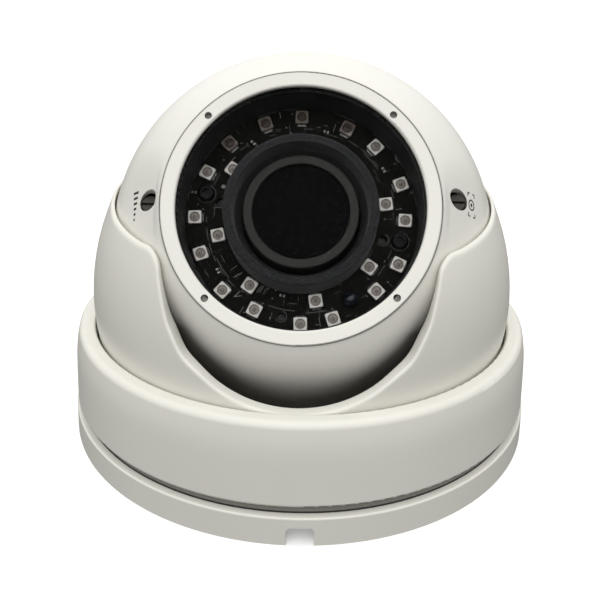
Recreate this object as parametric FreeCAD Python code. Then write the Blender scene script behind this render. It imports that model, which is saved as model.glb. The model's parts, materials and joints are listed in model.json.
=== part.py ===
import FreeCAD, Part
import math
import os

os.makedirs("parts", exist_ok=True)

V = FreeCAD.Vector
PI = math.pi

# ---------------------------------------------------------------- dimensions
# mm. World frame: origin at the centre of the mounting face, +Z away from the
# mounting surface, -Y is the side the lens looks towards.

# mounting base
BASE_R = 61.0            # outer radius at the top edge
BASE_R_FOOT = 61.4       # outer radius at the mounting face (casting draft)
BASE_H = 6.85            # height of the base top face
BASE_PLATE_Z = 3.2       # underside of the base plate
BASE_OPENING_R = 33.0    # central cable and swing opening
BASE_RIM_IN_R = 58.5     # inside of the outer rim
BASE_EDGE_R = 0.45       # rounding of the top edge
NOTCH_W = 6.0            # cable notch in the rim
NOTCH_H = 4.4
NOTCH_X = 1.6            # the notch stands this far beside the lens direction at rest
MOUNT_PCD_R = 43.0       # fixing screw circle
MOUNT_HOLE_R = 2.3
MOUNT_CBORE_R = 4.5
LEDGE_IN_R, LEDGE_OUT_R, LEDGE_Z = 47.6, 53.0, 8.2
# trim ring
TRIM_Z0 = 7.25           # underside of the recessed skirt
TRIM_SKIRT_R = 59.1
TRIM_EDGE_Z = 9.06       # visible lower edge
TRIM_Z1 = 28.5           # top edge
TRIM_R0 = 60.45          # outer radius at the lower edge
TRIM_WALL_PTS = [(60.1, 15.0), (59.7, 20.0), (59.35, 23.2), (58.5, 27.2)]
TRIM_SH_R = 1.8          # rounding of the shoulder
TRIM_OPEN_R = 54.4       # opening
TRIM_WALL = 2.3
TRIM_SCREW_R = 56.6
TRIM_SCREW_ANG = (90.0, 210.0, 330.0)
# gasket between base and trim ring
GASKET_IN_R, GASKET_OUT_R = 53.5, 59.2
# tilt pivot and eyeball
PIV_Z = 45.4             # height of the tilt axis
TILT_REST = 33.2         # elevation of the optical axis as modelled, degrees
EYE_R = 48.4             # outer radius of the front shell
EYE_IN_R = 45.8          # inner radius of the front shell
SHELL_BACK_H = 7.5       # back face of the front shell, along the optical axis
REAR_R = 38.5            # rear housing
REAR_IN_R = 36.1
REAR_FLAT_H = -30.0
FLANGE_R = 47.3
FLANGE_H0 = 5.7
# cradle
CR_Z0 = 9.15             # lower edge of the cradle
CR_IN_R = 50.6           # cylindrical part, inside
CR_SEAT_Z0 = 42.0        # lower end of the spherical seat
CR_BORE_Z1 = 33.0        # top of the cylindrical part
CR_BLEND = [(48.98, 40.5), (49.35, 39.0), (49.8, 37.5), (50.22, 36.0), (50.5, 34.5)]   # from the seat to the cylindrical part
CR_SPH_R = 48.9          # spherical seat around the eyeball
CR_PROFILE = [(53.4, 9.15), (53.4, 24.0), (53.75, 27.5), (54.0, 30.5), (54.1, 33.5), (54.03, 36.5), (53.72, 39.8),
              (53.15, 43.5), (52.35, 47.1), (51.3, 50.8), (50.0, 54.4), (48.5, 57.9), (47.0, 61.3), (45.3, 65.0)]
CR_FL_R = 56.4           # captured flange
CR_FL_Z0, CR_FL_Z1 = 19.4, 22.2
# rim of the cradle: azimuth from the lens side (degrees) and height
RIM = [(0.0, 27.65), (5.5, 28.0), (11.6, 29.2), (18.4, 31.8), (23.4, 34.8), (29.0, 38.2), (33.0, 42.9),
       (35.5, 48.6), (36.7, 51.8), (38.3, 55.3), (41.0, 57.0), (47.5, 57.5), (55.0, 57.95), (64.0, 58.6), (73.5, 59.6),
       (82.0, 60.6), (92.0, 61.5), (105.0, 62.1), (130.0, 62.2), (155.0, 62.2), (180.0, 62.2)]
RIM_ROUND = 0.8
# tilt screws
PIN_R = 2.5
PIN_BORE_R = 2.55
PIN_HEAD_X0, PIN_HEAD_X1 = 33.0, 35.0
LUG_X0, LUG_X1 = 35.6, 46.4
LUG_R = 5.0
PAD_X = 48.0
PIN_THREAD_R, PIN_END_X = 1.9, 50.4
# window group (h is the distance from the tilt axis along the optical axis)
BEZ_R, BEZ_H = 30.1, 37.9
BEZ_SEAM = 0.1
WIN_R = 26.9
LIP_T = 0.9
SEAT_R = 27.4            # window ledge in the front shell
SLEEVE_R = 26.5          # inside of the window gasket and light shield
GLASS_R, GLASS_H0, GLASS_H1 = 27.8, 35.5, 37.0
SPANNER_R, SPANNER_HOLE_R, SPANNER_ANG = 28.4, 0.82, 46.5
# illuminator board
LED_H = 26.3             # top face
LED_T = 1.6
LED_BOARD_R = 28.2
LED_BOARD_IN_R = 13.6
LED_SIZE, LED_PKG_T = 3.0, 0.9
# emitter positions on the board: an outer row of sixteen and an inner row of six
LED_XY = [(-0.47, 24.17), (10.12, 21.73), (16.68, 17.35), (22.52, 8.52), (23.55, 0.06), (22.06, -10.13), (17.22, -16.33), (7.63, -22.78),
          (0.43, -24.13), (-9.9, -21.21), (-17.22, -16.97), (-22.49, -8.63), (-24.22, -0.23), (-21.85, 10.4), (-17.04, 17.48), (-8.88, 22.4),
          (19.17, 3.78), (15.59, -10.89), (3.72, -18.88), (-11.17, -15.73), (-18.79, -4.35), (-15.97, 11.25)]
SENSOR_XY = (11.5, -18.4)
BOARD_SCREWS = ((22.4, -4.7), (-21.9, 5.5))
BOARD_HOLES = ((-18.6, 3.6, 1.0), (18.6, -4.4, 1.0), (-3.9, -22.5, 0.9), (-5.0, -15.0, 0.7))
# lens
FOAM_R, FOAM_IN_R, FOAM_H = 17.0, 15.1, 35.45
BARREL_R, BARREL_IN_R, BARREL_H = 12.8, 11.3, 33.2
LENS_RING_IN_R = 10.75
ADJ_XL, ADJ_XR = 33.85, 34.6    # adjuster spindle axes, left and right
ZOOM_Y, FOCUS_Y = 1.6, 3.6
ADJ_HOLE_R = 2.4
SPINDLE_R, SPINDLE_BORE_R = 1.25, 1.30
ZOOM_TRAVEL = 2.5
FOCUS_TRAVEL = 1.45
# ir cut filter
SHUTTLE_L, SHUTTLE_W, SHUTTLE_T = 19.0, 10.4, 0.9
SHUTTLE_OFF = 4.75

# ---------------------------------------------------------------- helpers


def adj_x(sx):
    return ADJ_XR if sx > 0 else ADJ_XL


def adj_y(sx):
    return FOCUS_Y if sx > 0 else ZOOM_Y


def cyl(r, z0, z1, x=0.0, y=0.0):
    return Part.makeCylinder(r, z1 - z0, V(x, y, z0), V(0, 0, 1))


def cylx(r, x0, x1, y=0.0, z=0.0):
    return Part.makeCylinder(r, x1 - x0, V(x0, y, z), V(1, 0, 0))


def ring(ro, ri, z0, z1, x=0.0, y=0.0):
    return cyl(ro, z0, z1, x, y).cut(cyl(ri, z0 - 1, z1 + 1, x, y))


def box(x0, x1, y0, y1, z0, z1):
    return Part.makeBox(x1 - x0, y1 - y0, z1 - z0, V(x0, y0, z0))


def rbox(x0, x1, y0, y1, z0, z1, r):
    """Box with rounded upright edges."""
    b = box(x0, x1, y0, y1, z0, z1)
    up = [e for e in b.Edges if abs(e.Vertexes[0].Z - e.Vertexes[1].Z) > 1e-6]
    return b.makeFillet(r, up)


def pol(r, deg, z=0.0):
    a = math.radians(deg)
    return V(r * math.cos(a), r * math.sin(a), z)


def rev(start, segs):
    """Revolve a closed (r, z) profile about Z. A segment is (r, z) for a line,
    or (rm, zm, r, z) for an arc through a middle point."""
    edges = []
    p = V(start[0], 0, start[1])
    for s in segs:
        if len(s) == 2:
            q = V(s[0], 0, s[1])
            edges.append(Part.makeLine(p, q))
        else:
            q = V(s[2], 0, s[3])
            edges.append(Part.Arc(p, V(s[0], 0, s[1]), q).toShape())
        p = q
    q = V(start[0], 0, start[1])
    if (p - q).Length > 1e-6:
        edges.append(Part.makeLine(p, q))
    return Part.Face(Part.Wire(edges)).revolve(V(0, 0, 0), V(0, 0, 1), 360)


def sph_arc(radius, r0, z0, r1, z1):
    """Arc of a sphere profile centred on the origin, from one point to another."""
    a0, a1 = math.atan2(z0, r0), math.atan2(z1, r1)
    am = 0.5 * (a0 + a1)
    return (radius * math.cos(am), radius * math.sin(am), r1, z1)


def sph(radius, z):
    return math.sqrt(radius * radius - z * z)


def glass_disc(r, z0, crown0, z1, crown1):
    """Round glass with spherical faces. A positive crown bulges outwards."""
    out = cyl(r, z0, z1)
    for z, crown, up in ((z0, crown0, -1), (z1, crown1, 1)):
        if crown:
            c = abs(crown)
            rs = (r * r + c * c) / (2 * c)
            side = up if crown > 0 else -up
            ball = Part.makeSphere(rs, V(0, 0, z + side * (c - rs)))
            if crown > 0:
                lo, hi = (z, z + c + 1) if up > 0 else (z - c - 1, z)
                out = out.fuse(ball.common(cyl(r, lo, hi)))
            else:
                out = out.cut(ball)
    return out.removeSplitter()


def join(shapes):
    out = shapes[0]
    if len(shapes) > 1:
        out = out.fuse(shapes[1:])
    return out.removeSplitter()


def clean(s):
    return s.removeSplitter()


def try_fillet(s, r, pick):
    """Round the chosen edges, halving the radius when the corner is too tight."""
    for rr in (r, r * 0.7, r * 0.45):
        es = [e for e in s.Edges if pick(e)]
        if not es:
            return s
        try:
            f = s.makeFillet(rr, es)
            if f.isValid() and f.Volume > 0:
                return f
        except Exception:
            pass
    return s


REST = FreeCAD.Placement(V(0, 0, PIV_Z), FreeCAD.Rotation(V(1, 0, 0), 90.0 - TILT_REST))
NODES = {}


def add(name, shape, eye=False):
    s = shape.copy()
    if eye:
        s.Placement = REST.multiply(s.Placement)
    NODES[name] = s


def group(solids):
    return Part.makeCompound(solids)


def pan_head_screw(r_head, h_head, r_shaft, z_head0, z_head1, z_end, x=0.0, y=0.0, slot="cross"):
    """Screw on Z. The head spans z_head0..z_head1 and the shaft runs to z_end."""
    up = z_end > z_head1
    head = cyl(r_head, min(z_head0, z_head1), max(z_head0, z_head1), x, y)
    outer = z_head0
    rim = [e for e in head.Edges if e.Curve.TypeId == "Part::GeomCircle" and abs(e.CenterOfMass.z - outer) < 1e-6]
    try:
        head = head.makeFillet(min(0.45 * h_head, 0.6), rim)
    except Exception:
        pass
    shaft = cyl(r_shaft, min(z_head1, z_end), max(z_head1, z_end), x, y)
    s = head.fuse(shaft)
    d = 0.55 * h_head
    z0, z1 = (outer - 0.1, outer + d) if up else (outer - d, outer + 0.1)
    w = 0.2 * r_head
    if slot == "hex":
        pts = [V(x + 0.52 * r_head * math.cos(PI / 3 * k), y + 0.52 * r_head * math.sin(PI / 3 * k), z0) for k in range(7)]
        tool = Part.Face(Part.makePolygon(pts)).extrude(V(0, 0, z1 - z0))
    else:
        a = 0.62 * r_head
        tool = box(x - a, x + a, y - w, y + w, z0, z1).fuse(box(x - w, x + w, y - a, y + a, z0, z1))
    return clean(s.cut(tool))


# ---------------------------------------------------------------- base body

# mounting base: cast ring plate with a rim, a cable channel and a raised ledge
base = rev((BASE_OPENING_R, 0.0), [
    (BASE_OPENING_R + 2.4, 0.0), (BASE_OPENING_R + 2.4, BASE_PLATE_Z), (BASE_RIM_IN_R, BASE_PLATE_Z), (BASE_RIM_IN_R, 0.0),
    (BASE_R_FOOT, 0.0), (BASE_R, BASE_H - BASE_EDGE_R),
    (BASE_R - 0.3 * BASE_EDGE_R, BASE_H - 0.3 * BASE_EDGE_R, BASE_R - BASE_EDGE_R, BASE_H),
    (LEDGE_OUT_R, BASE_H), (LEDGE_OUT_R, LEDGE_Z), (LEDGE_IN_R, LEDGE_Z), (LEDGE_IN_R, BASE_H), (BASE_OPENING_R, BASE_H)])
bosses = [cyl(MOUNT_CBORE_R + 1.0, 0, BASE_PLATE_Z + 0.5, *pol(MOUNT_PCD_R, 45 + 90 * k)[:2]) for k in range(4)]
ribs = []
for k in range(8):
    rb = box(BASE_OPENING_R + 1, BASE_RIM_IN_R + 1, -0.8, 0.8, 0.9, BASE_PLATE_Z + 0.5)
    rb.rotate(V(0, 0, 0), V(0, 0, 1), 22.5 + 45 * k)
    ribs.append(rb)
base = base.fuse(bosses + ribs)
stop = box(-2.2, 2.2, 46.4, 48.9, BASE_H - 0.5, 12.4)
base = base.fuse(stop)
cuts = []
for k in range(4):
    p = pol(MOUNT_PCD_R, 45 + 90 * k)
    cuts += [cyl(MOUNT_HOLE_R, -1, 20, p.x, p.y), cyl(MOUNT_CBORE_R, 4.4, 20, p.x, p.y)]
for a in TRIM_SCREW_ANG:
    p = pol(TRIM_SCREW_R, a)
    cuts += [cyl(1.7, -1, 20, p.x, p.y), cyl(3.0, -1, BASE_PLATE_Z, p.x, p.y)]
notch = box(-NOTCH_W / 2, NOTCH_W / 2, -BASE_R - 5, -BASE_OPENING_R + 5, -2, NOTCH_H)
notch = notch.makeFillet(1.1, [e for e in notch.Edges if abs(e.CenterOfMass.z - NOTCH_H) < 1e-6 and abs(abs(e.CenterOfMass.x) - NOTCH_W / 2) < 1e-6])
notch.translate(V(NOTCH_X, 0, 0))
cuts.append(notch)
base = clean(base.cut(cuts))
add("mounting_base", base)

# seal between base and trim ring
gasket = ring(GASKET_OUT_R, GASKET_IN_R, BASE_H, TRIM_Z0)
gasket = gasket.cut([cyl(1.75, 0, 20, *pol(TRIM_SCREW_R, a)[:2]) for a in TRIM_SCREW_ANG])
add("base_gasket", gasket)

# trim ring: near-upright wall, rounded shoulder and a lip around the opening
tw = TRIM_WALL_PTS
lean = math.radians(16.0)
sc_r, sc_z = tw[3][0] - TRIM_SH_R * math.cos(lean), TRIM_Z1 - TRIM_SH_R
tr = rev((TRIM_R0 - TRIM_WALL, TRIM_Z0), [
    (TRIM_SKIRT_R, TRIM_Z0), (TRIM_SKIRT_R, TRIM_EDGE_Z + 0.1), (TRIM_R0 - 0.23, TRIM_EDGE_Z + 0.25, TRIM_R0, TRIM_EDGE_Z + 0.8),
    (tw[0][0], tw[0][1], tw[1][0], tw[1][1]), (tw[2][0], tw[2][1], tw[3][0], tw[3][1]),
    (sc_r + TRIM_SH_R * math.cos(math.radians(53)), sc_z + TRIM_SH_R * math.sin(math.radians(53)), sc_r, TRIM_Z1),
    (TRIM_OPEN_R + 0.5, TRIM_Z1), (TRIM_OPEN_R + 0.15, TRIM_Z1 - 0.15, TRIM_OPEN_R, TRIM_Z1 - 0.5),
    (TRIM_OPEN_R, 25.0), (55.2, 25.0), (56.5, 24.4, 57.2, 22.9), (57.85, 16.2, TRIM_R0 - TRIM_WALL, TRIM_Z0)])
tb = []
for a in TRIM_SCREW_ANG:
    p = pol(TRIM_SCREW_R, a)
    tb.append(cyl(2.8, TRIM_Z0, 18.4, p.x, p.y))
body_limit = cyl(59.0, TRIM_Z0 - 1, 19.5)
tb = [b.common(body_limit) for b in tb]
tr = tr.fuse(tb)
tr = tr.cut([cyl(1.5, TRIM_Z0 - 1, 17.0, *pol(TRIM_SCREW_R, a)[:2]) for a in TRIM_SCREW_ANG])
add("trim_ring", clean(tr))

add("trim_ring_screws", group([pan_head_screw(2.7, 2.2, 1.5, 1.0, BASE_PLATE_Z, 15.5, *pol(TRIM_SCREW_R, a)[:2]) for a in TRIM_SCREW_ANG]))
add("pan_glide_lower", ring(52.8, 49.9, LEDGE_Z, 8.8))
add("pan_glide_upper", clean(ring(56.1, 54.2, 22.6, 24.2).fuse(ring(55.1, 54.2, 24.2, 25.0))))

# ---------------------------------------------------------------- cradle body


def cradle_profile():
    pts = [V(r, 0, z) for r, z in CR_PROFILE[1:]]
    bs = Part.BSplineCurve()
    bs.interpolate(pts)
    e = [Part.makeLine(V(CR_PROFILE[0][0], 0, CR_PROFILE[0][1]), pts[0]), bs.toShape()]
    zt = CR_PROFILE[-1][1] - PIV_Z
    rt = sph(CR_SPH_R, zt)
    e.append(Part.makeLine(pts[-1], V(rt, 0, CR_PROFILE[-1][1])))
    # spherical seat, a blend and the bore
    zs = CR_SEAT_Z0 - PIV_Z
    rs = sph(CR_SPH_R, zs)
    a0, a1 = math.atan2(zt, rt), math.atan2(zs, rs)
    am = 0.5 * (a0 + a1)
    e.append(Part.Arc(V(rt, 0, CR_PROFILE[-1][1]), V(CR_SPH_R * math.cos(am), 0, PIV_Z + CR_SPH_R * math.sin(am)), V(rs, 0, CR_SEAT_Z0)).toShape())
    bl = Part.BSplineCurve()
    bl.interpolate([V(rs, 0, CR_SEAT_Z0)] + [V(r, 0, z) for r, z in CR_BLEND] + [V(CR_IN_R, 0, CR_BORE_Z1)])
    e.append(bl.toShape())
    e.append(Part.makeLine(V(CR_IN_R, 0, CR_BORE_Z1), V(CR_IN_R, 0, CR_Z0)))
    e.append(Part.makeLine(V(CR_IN_R, 0, CR_Z0), V(CR_PROFILE[0][0], 0, CR_Z0)))
    return Part.Face(Part.Wire(e)).revolve(V(0, 0, 0), V(0, 0, 1), 360)


def rim_radius(z):
    """Inner radius of the cradle at a height."""
    if z >= CR_SEAT_Z0:
        return sph(CR_SPH_R, z - PIV_Z)
    pts = [(CR_SEAT_Z0, sph(CR_SPH_R, CR_SEAT_Z0 - PIV_Z))] + [(q, r) for r, q in CR_BLEND] + [(CR_BORE_Z1, CR_IN_R), (0.0, CR_IN_R)]
    for (z1, r1), (z0, r0) in zip(pts, pts[1:]):
        if z0 <= z <= z1:
            return r0 + (r1 - r0) * (z - z0) / (z1 - z0)
    return CR_IN_R


def rim_cutter():
    """The opening towards the lens is cut straight along Y and fans out to radial at the sides."""
    full = [(a, z) for a, z in RIM] + [(360.0 - a, z) for a, z in reversed(RIM[1:-1])]

    def points(off):
        pts = []
        for a, z in full:
            side = a if a <= 180 else a - 360.0
            t = min(1.0, max(0.0, (abs(side) - 38.0) / 30.0))
            d = math.radians(side * t * t * (3 - 2 * t))
            r, g = rim_radius(z), math.radians(side)
            pts.append(V(r * math.sin(g) + off * math.sin(d), -r * math.cos(g) - off * math.cos(d), z))
        return pts
    mid = points(0.0)
    knots = [0.0]
    for p, q in zip(mid, mid[1:] + mid[:1]):
        knots.append(knots[-1] + (q - p).Length)

    def loop(off):
        c = Part.BSplineCurve()
        c.interpolate(Points=points(off), Parameters=knots, PeriodicFlag=True)
        return c.toShape()
    f = Part.makeRuledSurface(loop(-8.0), loop(9.0))
    return f.extrude(V(0, 0, 50))


cr = cradle_profile()
cr = cr.fuse(ring(CR_FL_R, 51.0, CR_FL_Z0, CR_FL_Z1))
cr = cr.fuse(box(-2.6, 2.6, -51.5, -47.2, CR_Z0, 13.8))
cr = cr.cut(rim_cutter())


def rim_edge(e):
    b = e.BoundBox
    if b.ZMax < 29.5 or b.ZMin < 27.5:
        return False
    c = e.Vertexes[0].Point
    return math.hypot(c.x, c.y) > 44 and e.Length > 3 and c.z > 27.5


cr = try_fillet(cr, RIM_ROUND, rim_edge)
pads = []
for sx in (-1, 1):
    x0, x1 = (PAD_X, 50.7) if sx > 0 else (-50.7, -PAD_X)
    pads.append(cylx(LUG_R, x0, x1, 0, PIV_Z))
cr = cr.fuse(pads)
for sx in (-1, 1):
    x0, x1 = (PAD_X - 2, PIN_END_X) if sx > 0 else (-PIN_END_X, -PAD_X + 2)
    cr = cr.cut(cylx(PIN_THREAD_R, x0, x1, 0, PIV_Z))
add("cradle", clean(cr))


def tilt_screw(sx):
    h = cylx(3.6, PIN_HEAD_X0, PIN_HEAD_X1)
    h = h.makeFillet(0.7, [e for e in h.Edges if abs(e.CenterOfMass.x - PIN_HEAD_X0) < 1e-6])
    s = h.fuse([cylx(PIN_R, PIN_HEAD_X1, PAD_X), cylx(PIN_THREAD_R, PAD_X, PIN_END_X)])
    s = s.cut(box(PIN_HEAD_X0 - 0.1, PIN_HEAD_X0 + 1.1, -0.6, 0.6, -2.4, 2.4).fuse(box(PIN_HEAD_X0 - 0.1, PIN_HEAD_X0 + 1.1, -2.4, 2.4, -0.6, 0.6)))
    s = clean(s)
    if sx < 0:
        s.rotate(V(0, 0, 0), V(0, 0, 1), 180)
    s.translate(V(0, 0, PIV_Z))
    return s


add("tilt_screws", group([tilt_screw(-1), tilt_screw(1)]))

# ---------------------------------------------------------------- eyeball body

# front shell: spherical casting with the bezel pocket at the front
h_seam = sph(EYE_R, BEZ_R + BEZ_SEAM)
front = rev((sph(EYE_R, SHELL_BACK_H), SHELL_BACK_H), [
    sph_arc(EYE_R, sph(EYE_R, SHELL_BACK_H), SHELL_BACK_H, BEZ_R + BEZ_SEAM, h_seam),
    (BEZ_R + BEZ_SEAM, 35.9), (28.9, 35.9), (28.9, 32.0), (27.95, 32.0), (27.95, 33.9), (SEAT_R, 33.9), (SEAT_R, 31.0),
    (sph(EYE_IN_R, 31.0), 31.0),
    sph_arc(EYE_IN_R, sph(EYE_IN_R, 31.0), 31.0, sph(EYE_IN_R, SHELL_BACK_H), SHELL_BACK_H)])
inner_limit = Part.makeSphere(47.0)
fb = []
for k in range(4):
    p = pol(42.4, 45 + 90 * k)
    fb.append(cyl(2.7, SHELL_BACK_H, 18.0, p.x, p.y).common(inner_limit))
for a in (90.0, 210.0, 330.0):
    p = pol(39.0, a)
    fb.append(cyl(2.6, 11.0, 27.0, p.x, p.y).common(inner_limit))
front = front.fuse(fb)
fc = []
for k in range(4):
    p = pol(42.4, 45 + 90 * k)
    fc.append(cyl(1.5, SHELL_BACK_H - 1, 13.4, p.x, p.y))
for a in (90.0, 210.0, 330.0):
    p = pol(39.0, a)
    fc.append(cyl(1.25, 10.0, 16.0, p.x, p.y))
for sx in (-1, 1):
    fc.append(cyl(ADJ_HOLE_R, 20.0, 45.0, sx * adj_x(sx), adj_y(sx)))
    # shallow flat around the adjuster hole
    ang = math.radians(49.0)
    nrm = V(sx * math.sin(ang), 0.02, math.cos(ang))
    nrm.normalize()
    pl = Part.makeCylinder(20.0, 6.0, nrm * 47.5, nrm)
    fc.append(pl)
front = clean(front.cut(fc))
front = try_fillet(front, 0.35, lambda e: e.Curve.TypeId == "Part::GeomCircle" and abs(e.CenterOfMass.z - h_seam) < 1e-3 and abs(e.Curve.Radius - BEZ_R - BEZ_SEAM) < 1e-3)
add("front_shell", front, True)

# printed symbols next to the two adjuster holes


def mark_frame(sx):
    ang = math.radians(49.0)
    n = V(sx * math.sin(ang), 0.02, math.cos(ang))
    n.normalize()
    u = V(0, 1, 0)
    u = (u - n * u.dot(n))
    u.normalize()
    w = u.cross(n)
    return n, u, w


def plate(outline, sx, depth=0.06):
    n, u, w = mark_frame(sx)
    o = n * 47.5
    # outline in (outward, up) millimetres from the centre of the flat
    side = w if w.x * sx > 0 else w * -1.0
    pts = [o + side * a + u * b for a, b in outline]
    pts.append(pts[0])
    return Part.Face(Part.makePolygon(pts)).extrude(n * depth)


def circle_plate(a, b, ro, ri, sx, depth=0.06):
    n, u, w = mark_frame(sx)
    side = w if w.x * sx > 0 else w * -1.0
    c = n * 47.5 + side * a + u * b
    return Part.makeCylinder(ro, depth, c, n).cut(Part.makeCylinder(ri, depth * 3, c - n * depth, n))


zoom_mark = [plate([(5.0, -3.6), (6.9, -3.6), (5.95, -1.0)], -1), plate([(5.6, 0.0), (6.3, 0.0), (6.3, 2.2), (5.6, 2.2)], -1),
             plate([(5.35, 3.0), (6.55, 3.0), (5.95, 4.6)], -1)]
focus_mark = [circle_plate(5.95, 0.6, 1.15, 0.75, 1), circle_plate(5.95, 0.6, 0.3, 0.001, 1),
              plate([(5.0, -2.2), (5.3, -2.2), (5.3, -1.2), (5.0, -1.2)], 1), plate([(5.0, -2.5), (6.9, -2.5), (6.9, -2.2), (5.0, -2.2)], 1),
              plate([(6.6, -2.2), (6.9, -2.2), (6.9, -1.2), (6.6, -1.2)], 1), plate([(5.0, 2.4), (5.3, 2.4), (5.3, 3.4), (5.0, 3.4)], 1),
              plate([(5.0, 3.4), (6.9, 3.4), (6.9, 3.7), (5.0, 3.7)], 1), plate([(6.6, 2.4), (6.9, 2.4), (6.9, 3.4), (6.6, 3.4)], 1)]
add("printed_symbols", group(zoom_mark + [focus_mark[0], focus_mark[1], join(focus_mark[2:5]), join(focus_mark[5:8])]), True)

# bezel ring that clamps the window, with four spanner holes
bz = rev((WIN_R, BEZ_H - LIP_T), [
    (WIN_R, BEZ_H - 0.5), (WIN_R + 0.15, BEZ_H - 0.15, WIN_R + 0.5, BEZ_H), (BEZ_R - 0.3, BEZ_H),
    (BEZ_R - 0.09, BEZ_H - 0.09, BEZ_R, BEZ_H - 0.3), (BEZ_R, 36.0), (28.85, 36.0), (28.85, 32.3), (28.0, 32.3), (28.0, BEZ_H - LIP_T)])
bz = bz.cut([cyl(SPANNER_HOLE_R, BEZ_H - 1.3, BEZ_H + 1, *pol(SPANNER_R, SPANNER_ANG + 90 * k)[:2]) for k in range(4)])
add("bezel_ring", clean(bz), True)

gl = cyl(GLASS_R, GLASS_H0, GLASS_H1)
gl = gl.makeChamfer(0.2, [e for e in gl.Edges if e.Curve.TypeId == "Part::GeomCircle"])
add("front_glass", gl, True)
add("glass_gasket", clean(ring(27.85, SLEEVE_R, 33.9, GLASS_H0).fuse(ring(SEAT_R, SLEEVE_R, LED_H + 0.1, 33.9))), True)

# rear housing with flange, pivot lugs and the cable outlet
rear = rev((0.0, REAR_FLAT_H), [
    (sph(REAR_R, REAR_FLAT_H) - 1.2, REAR_FLAT_H),
    (sph(REAR_R, REAR_FLAT_H) - 0.15, REAR_FLAT_H + 0.35, sph(REAR_R, REAR_FLAT_H + 1.4), REAR_FLAT_H + 1.4),
    sph_arc(REAR_R, sph(REAR_R, REAR_FLAT_H + 1.4), REAR_FLAT_H + 1.4, sph(REAR_R, FLANGE_H0), FLANGE_H0),
    (FLANGE_R - 0.3, FLANGE_H0), (FLANGE_R, FLANGE_H0 + 0.3), (FLANGE_R, SHELL_BACK_H), (46.95, SHELL_BACK_H), (46.95, 6.9), (45.65, 6.9), (45.65, SHELL_BACK_H),
    (sph(REAR_IN_R, SHELL_BACK_H), SHELL_BACK_H),
    sph_arc(REAR_IN_R, sph(REAR_IN_R, SHELL_BACK_H), SHELL_BACK_H, sph(REAR_IN_R, REAR_FLAT_H + 2.4), REAR_FLAT_H + 2.4),
    (0.0, REAR_FLAT_H + 2.4)])
lugs = []
for sx in (-1, 1):
    x0, x1 = (LUG_X0, LUG_X1) if sx > 0 else (-LUG_X1, -LUG_X0)
    lugs.append(cylx(LUG_R, x0, x1))
rear = rear.fuse(lugs)
rc = [cyl(5.2, REAR_FLAT_H - 2, REAR_FLAT_H + 5)]
for sx in (-1, 1):
    x0, x1 = (30, 50) if sx > 0 else (-50, -30)
    rc.append(cylx(PIN_BORE_R, x0, x1))
for k in range(4):
    p = pol(42.4, 45 + 90 * k)
    rc.append(cyl(1.6, 0, 10, p.x, p.y))
rear = clean(rear.cut(rc))
add("rear_housing", rear, True)
add("shell_seal", ring(46.9, 45.7, 6.9, SHELL_BACK_H), True)
add("shell_screws", group([pan_head_screw(2.6, 2.3, 1.5, 3.3, FLANGE_H0, 13.0, *pol(42.4, 45 + 90 * k)[:2]) for k in range(4)]), True)
add("tilt_friction_washers", group([cylx(5.0, LUG_X1, 47.6).cut(cylx(2.6, 40, 50)), cylx(5.0, -47.6, -LUG_X1).cut(cylx(2.6, -50, -40))]), True)
add("tilt_wave_washers", group([cylx(4.4, 35.32, LUG_X0).cut(cylx(2.7, 30, 40)), cylx(4.4, -LUG_X0, -35.32).cut(cylx(2.7, -40, -30))]), True)

gr = rev((2.6, -31.6), [(6.2, -31.6), (6.9, -31.4, 7.1, -30.8), (7.1, REAR_FLAT_H), (5.2, REAR_FLAT_H), (5.2, REAR_FLAT_H + 2.4), (6.6, REAR_FLAT_H + 2.4), (6.6, -26.3), (2.6, -26.3)])
add("cable_grommet", gr, True)

# illuminator board
bd = ring(LED_BOARD_R, LED_BOARD_IN_R, LED_H - LED_T, LED_H)
bc = [cyl(r, 20, 30, x, y) for x, y, r in BOARD_HOLES]
bc += [cyl(1.05, 20, 30, x, y) for x, y in BOARD_SCREWS]
for x, y, w in ((28.4, 1.0, 1.2), (27.6, -6.6, 1.0), (-24.4, -14.6, 1.1), (-28.3, -2.0, 1.2)):
    bc.append(cyl(w, 20, 30, x, y))
add("led_board", clean(bd.cut(bc)), True)


leds, domes = [], []
for x, y in LED_XY:
    rot = -math.degrees(math.atan2(x + 0.3, y - 0.45))
    hs = LED_SIZE / 2
    b = box(-hs, hs, -hs, hs, LED_H, LED_H + LED_PKG_T)
    b = b.cut(Part.makeCone(1.0, 1.25, 0.5, V(0, 0, LED_H + LED_PKG_T - 0.5)))
    b.rotate(V(0, 0, 0), V(0, 0, 1), rot)
    b.translate(V(x, y, 0))
    leds.append(b)
    s = Part.makeSphere(1.45, V(x, y, LED_H + LED_PKG_T - 0.55)).common(cyl(0.98, LED_H + LED_PKG_T - 0.5, LED_H + 4, x, y))
    domes.append(s)
add("led_packages", group(leds), True)
add("led_lenses", group(domes), True)

ls = glass_disc(1.8, LED_H, 0, LED_H + 1.2, 1.7)
ls.translate(V(SENSOR_XY[0], SENSOR_XY[1], 0))
add("light_sensor", ls, True)
add("led_board_screws", group([pan_head_screw(1.9, 1.3, 1.0, LED_H + 1.3, LED_H, 21.9, x, y, "hex") for x, y in BOARD_SCREWS]), True)

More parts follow.
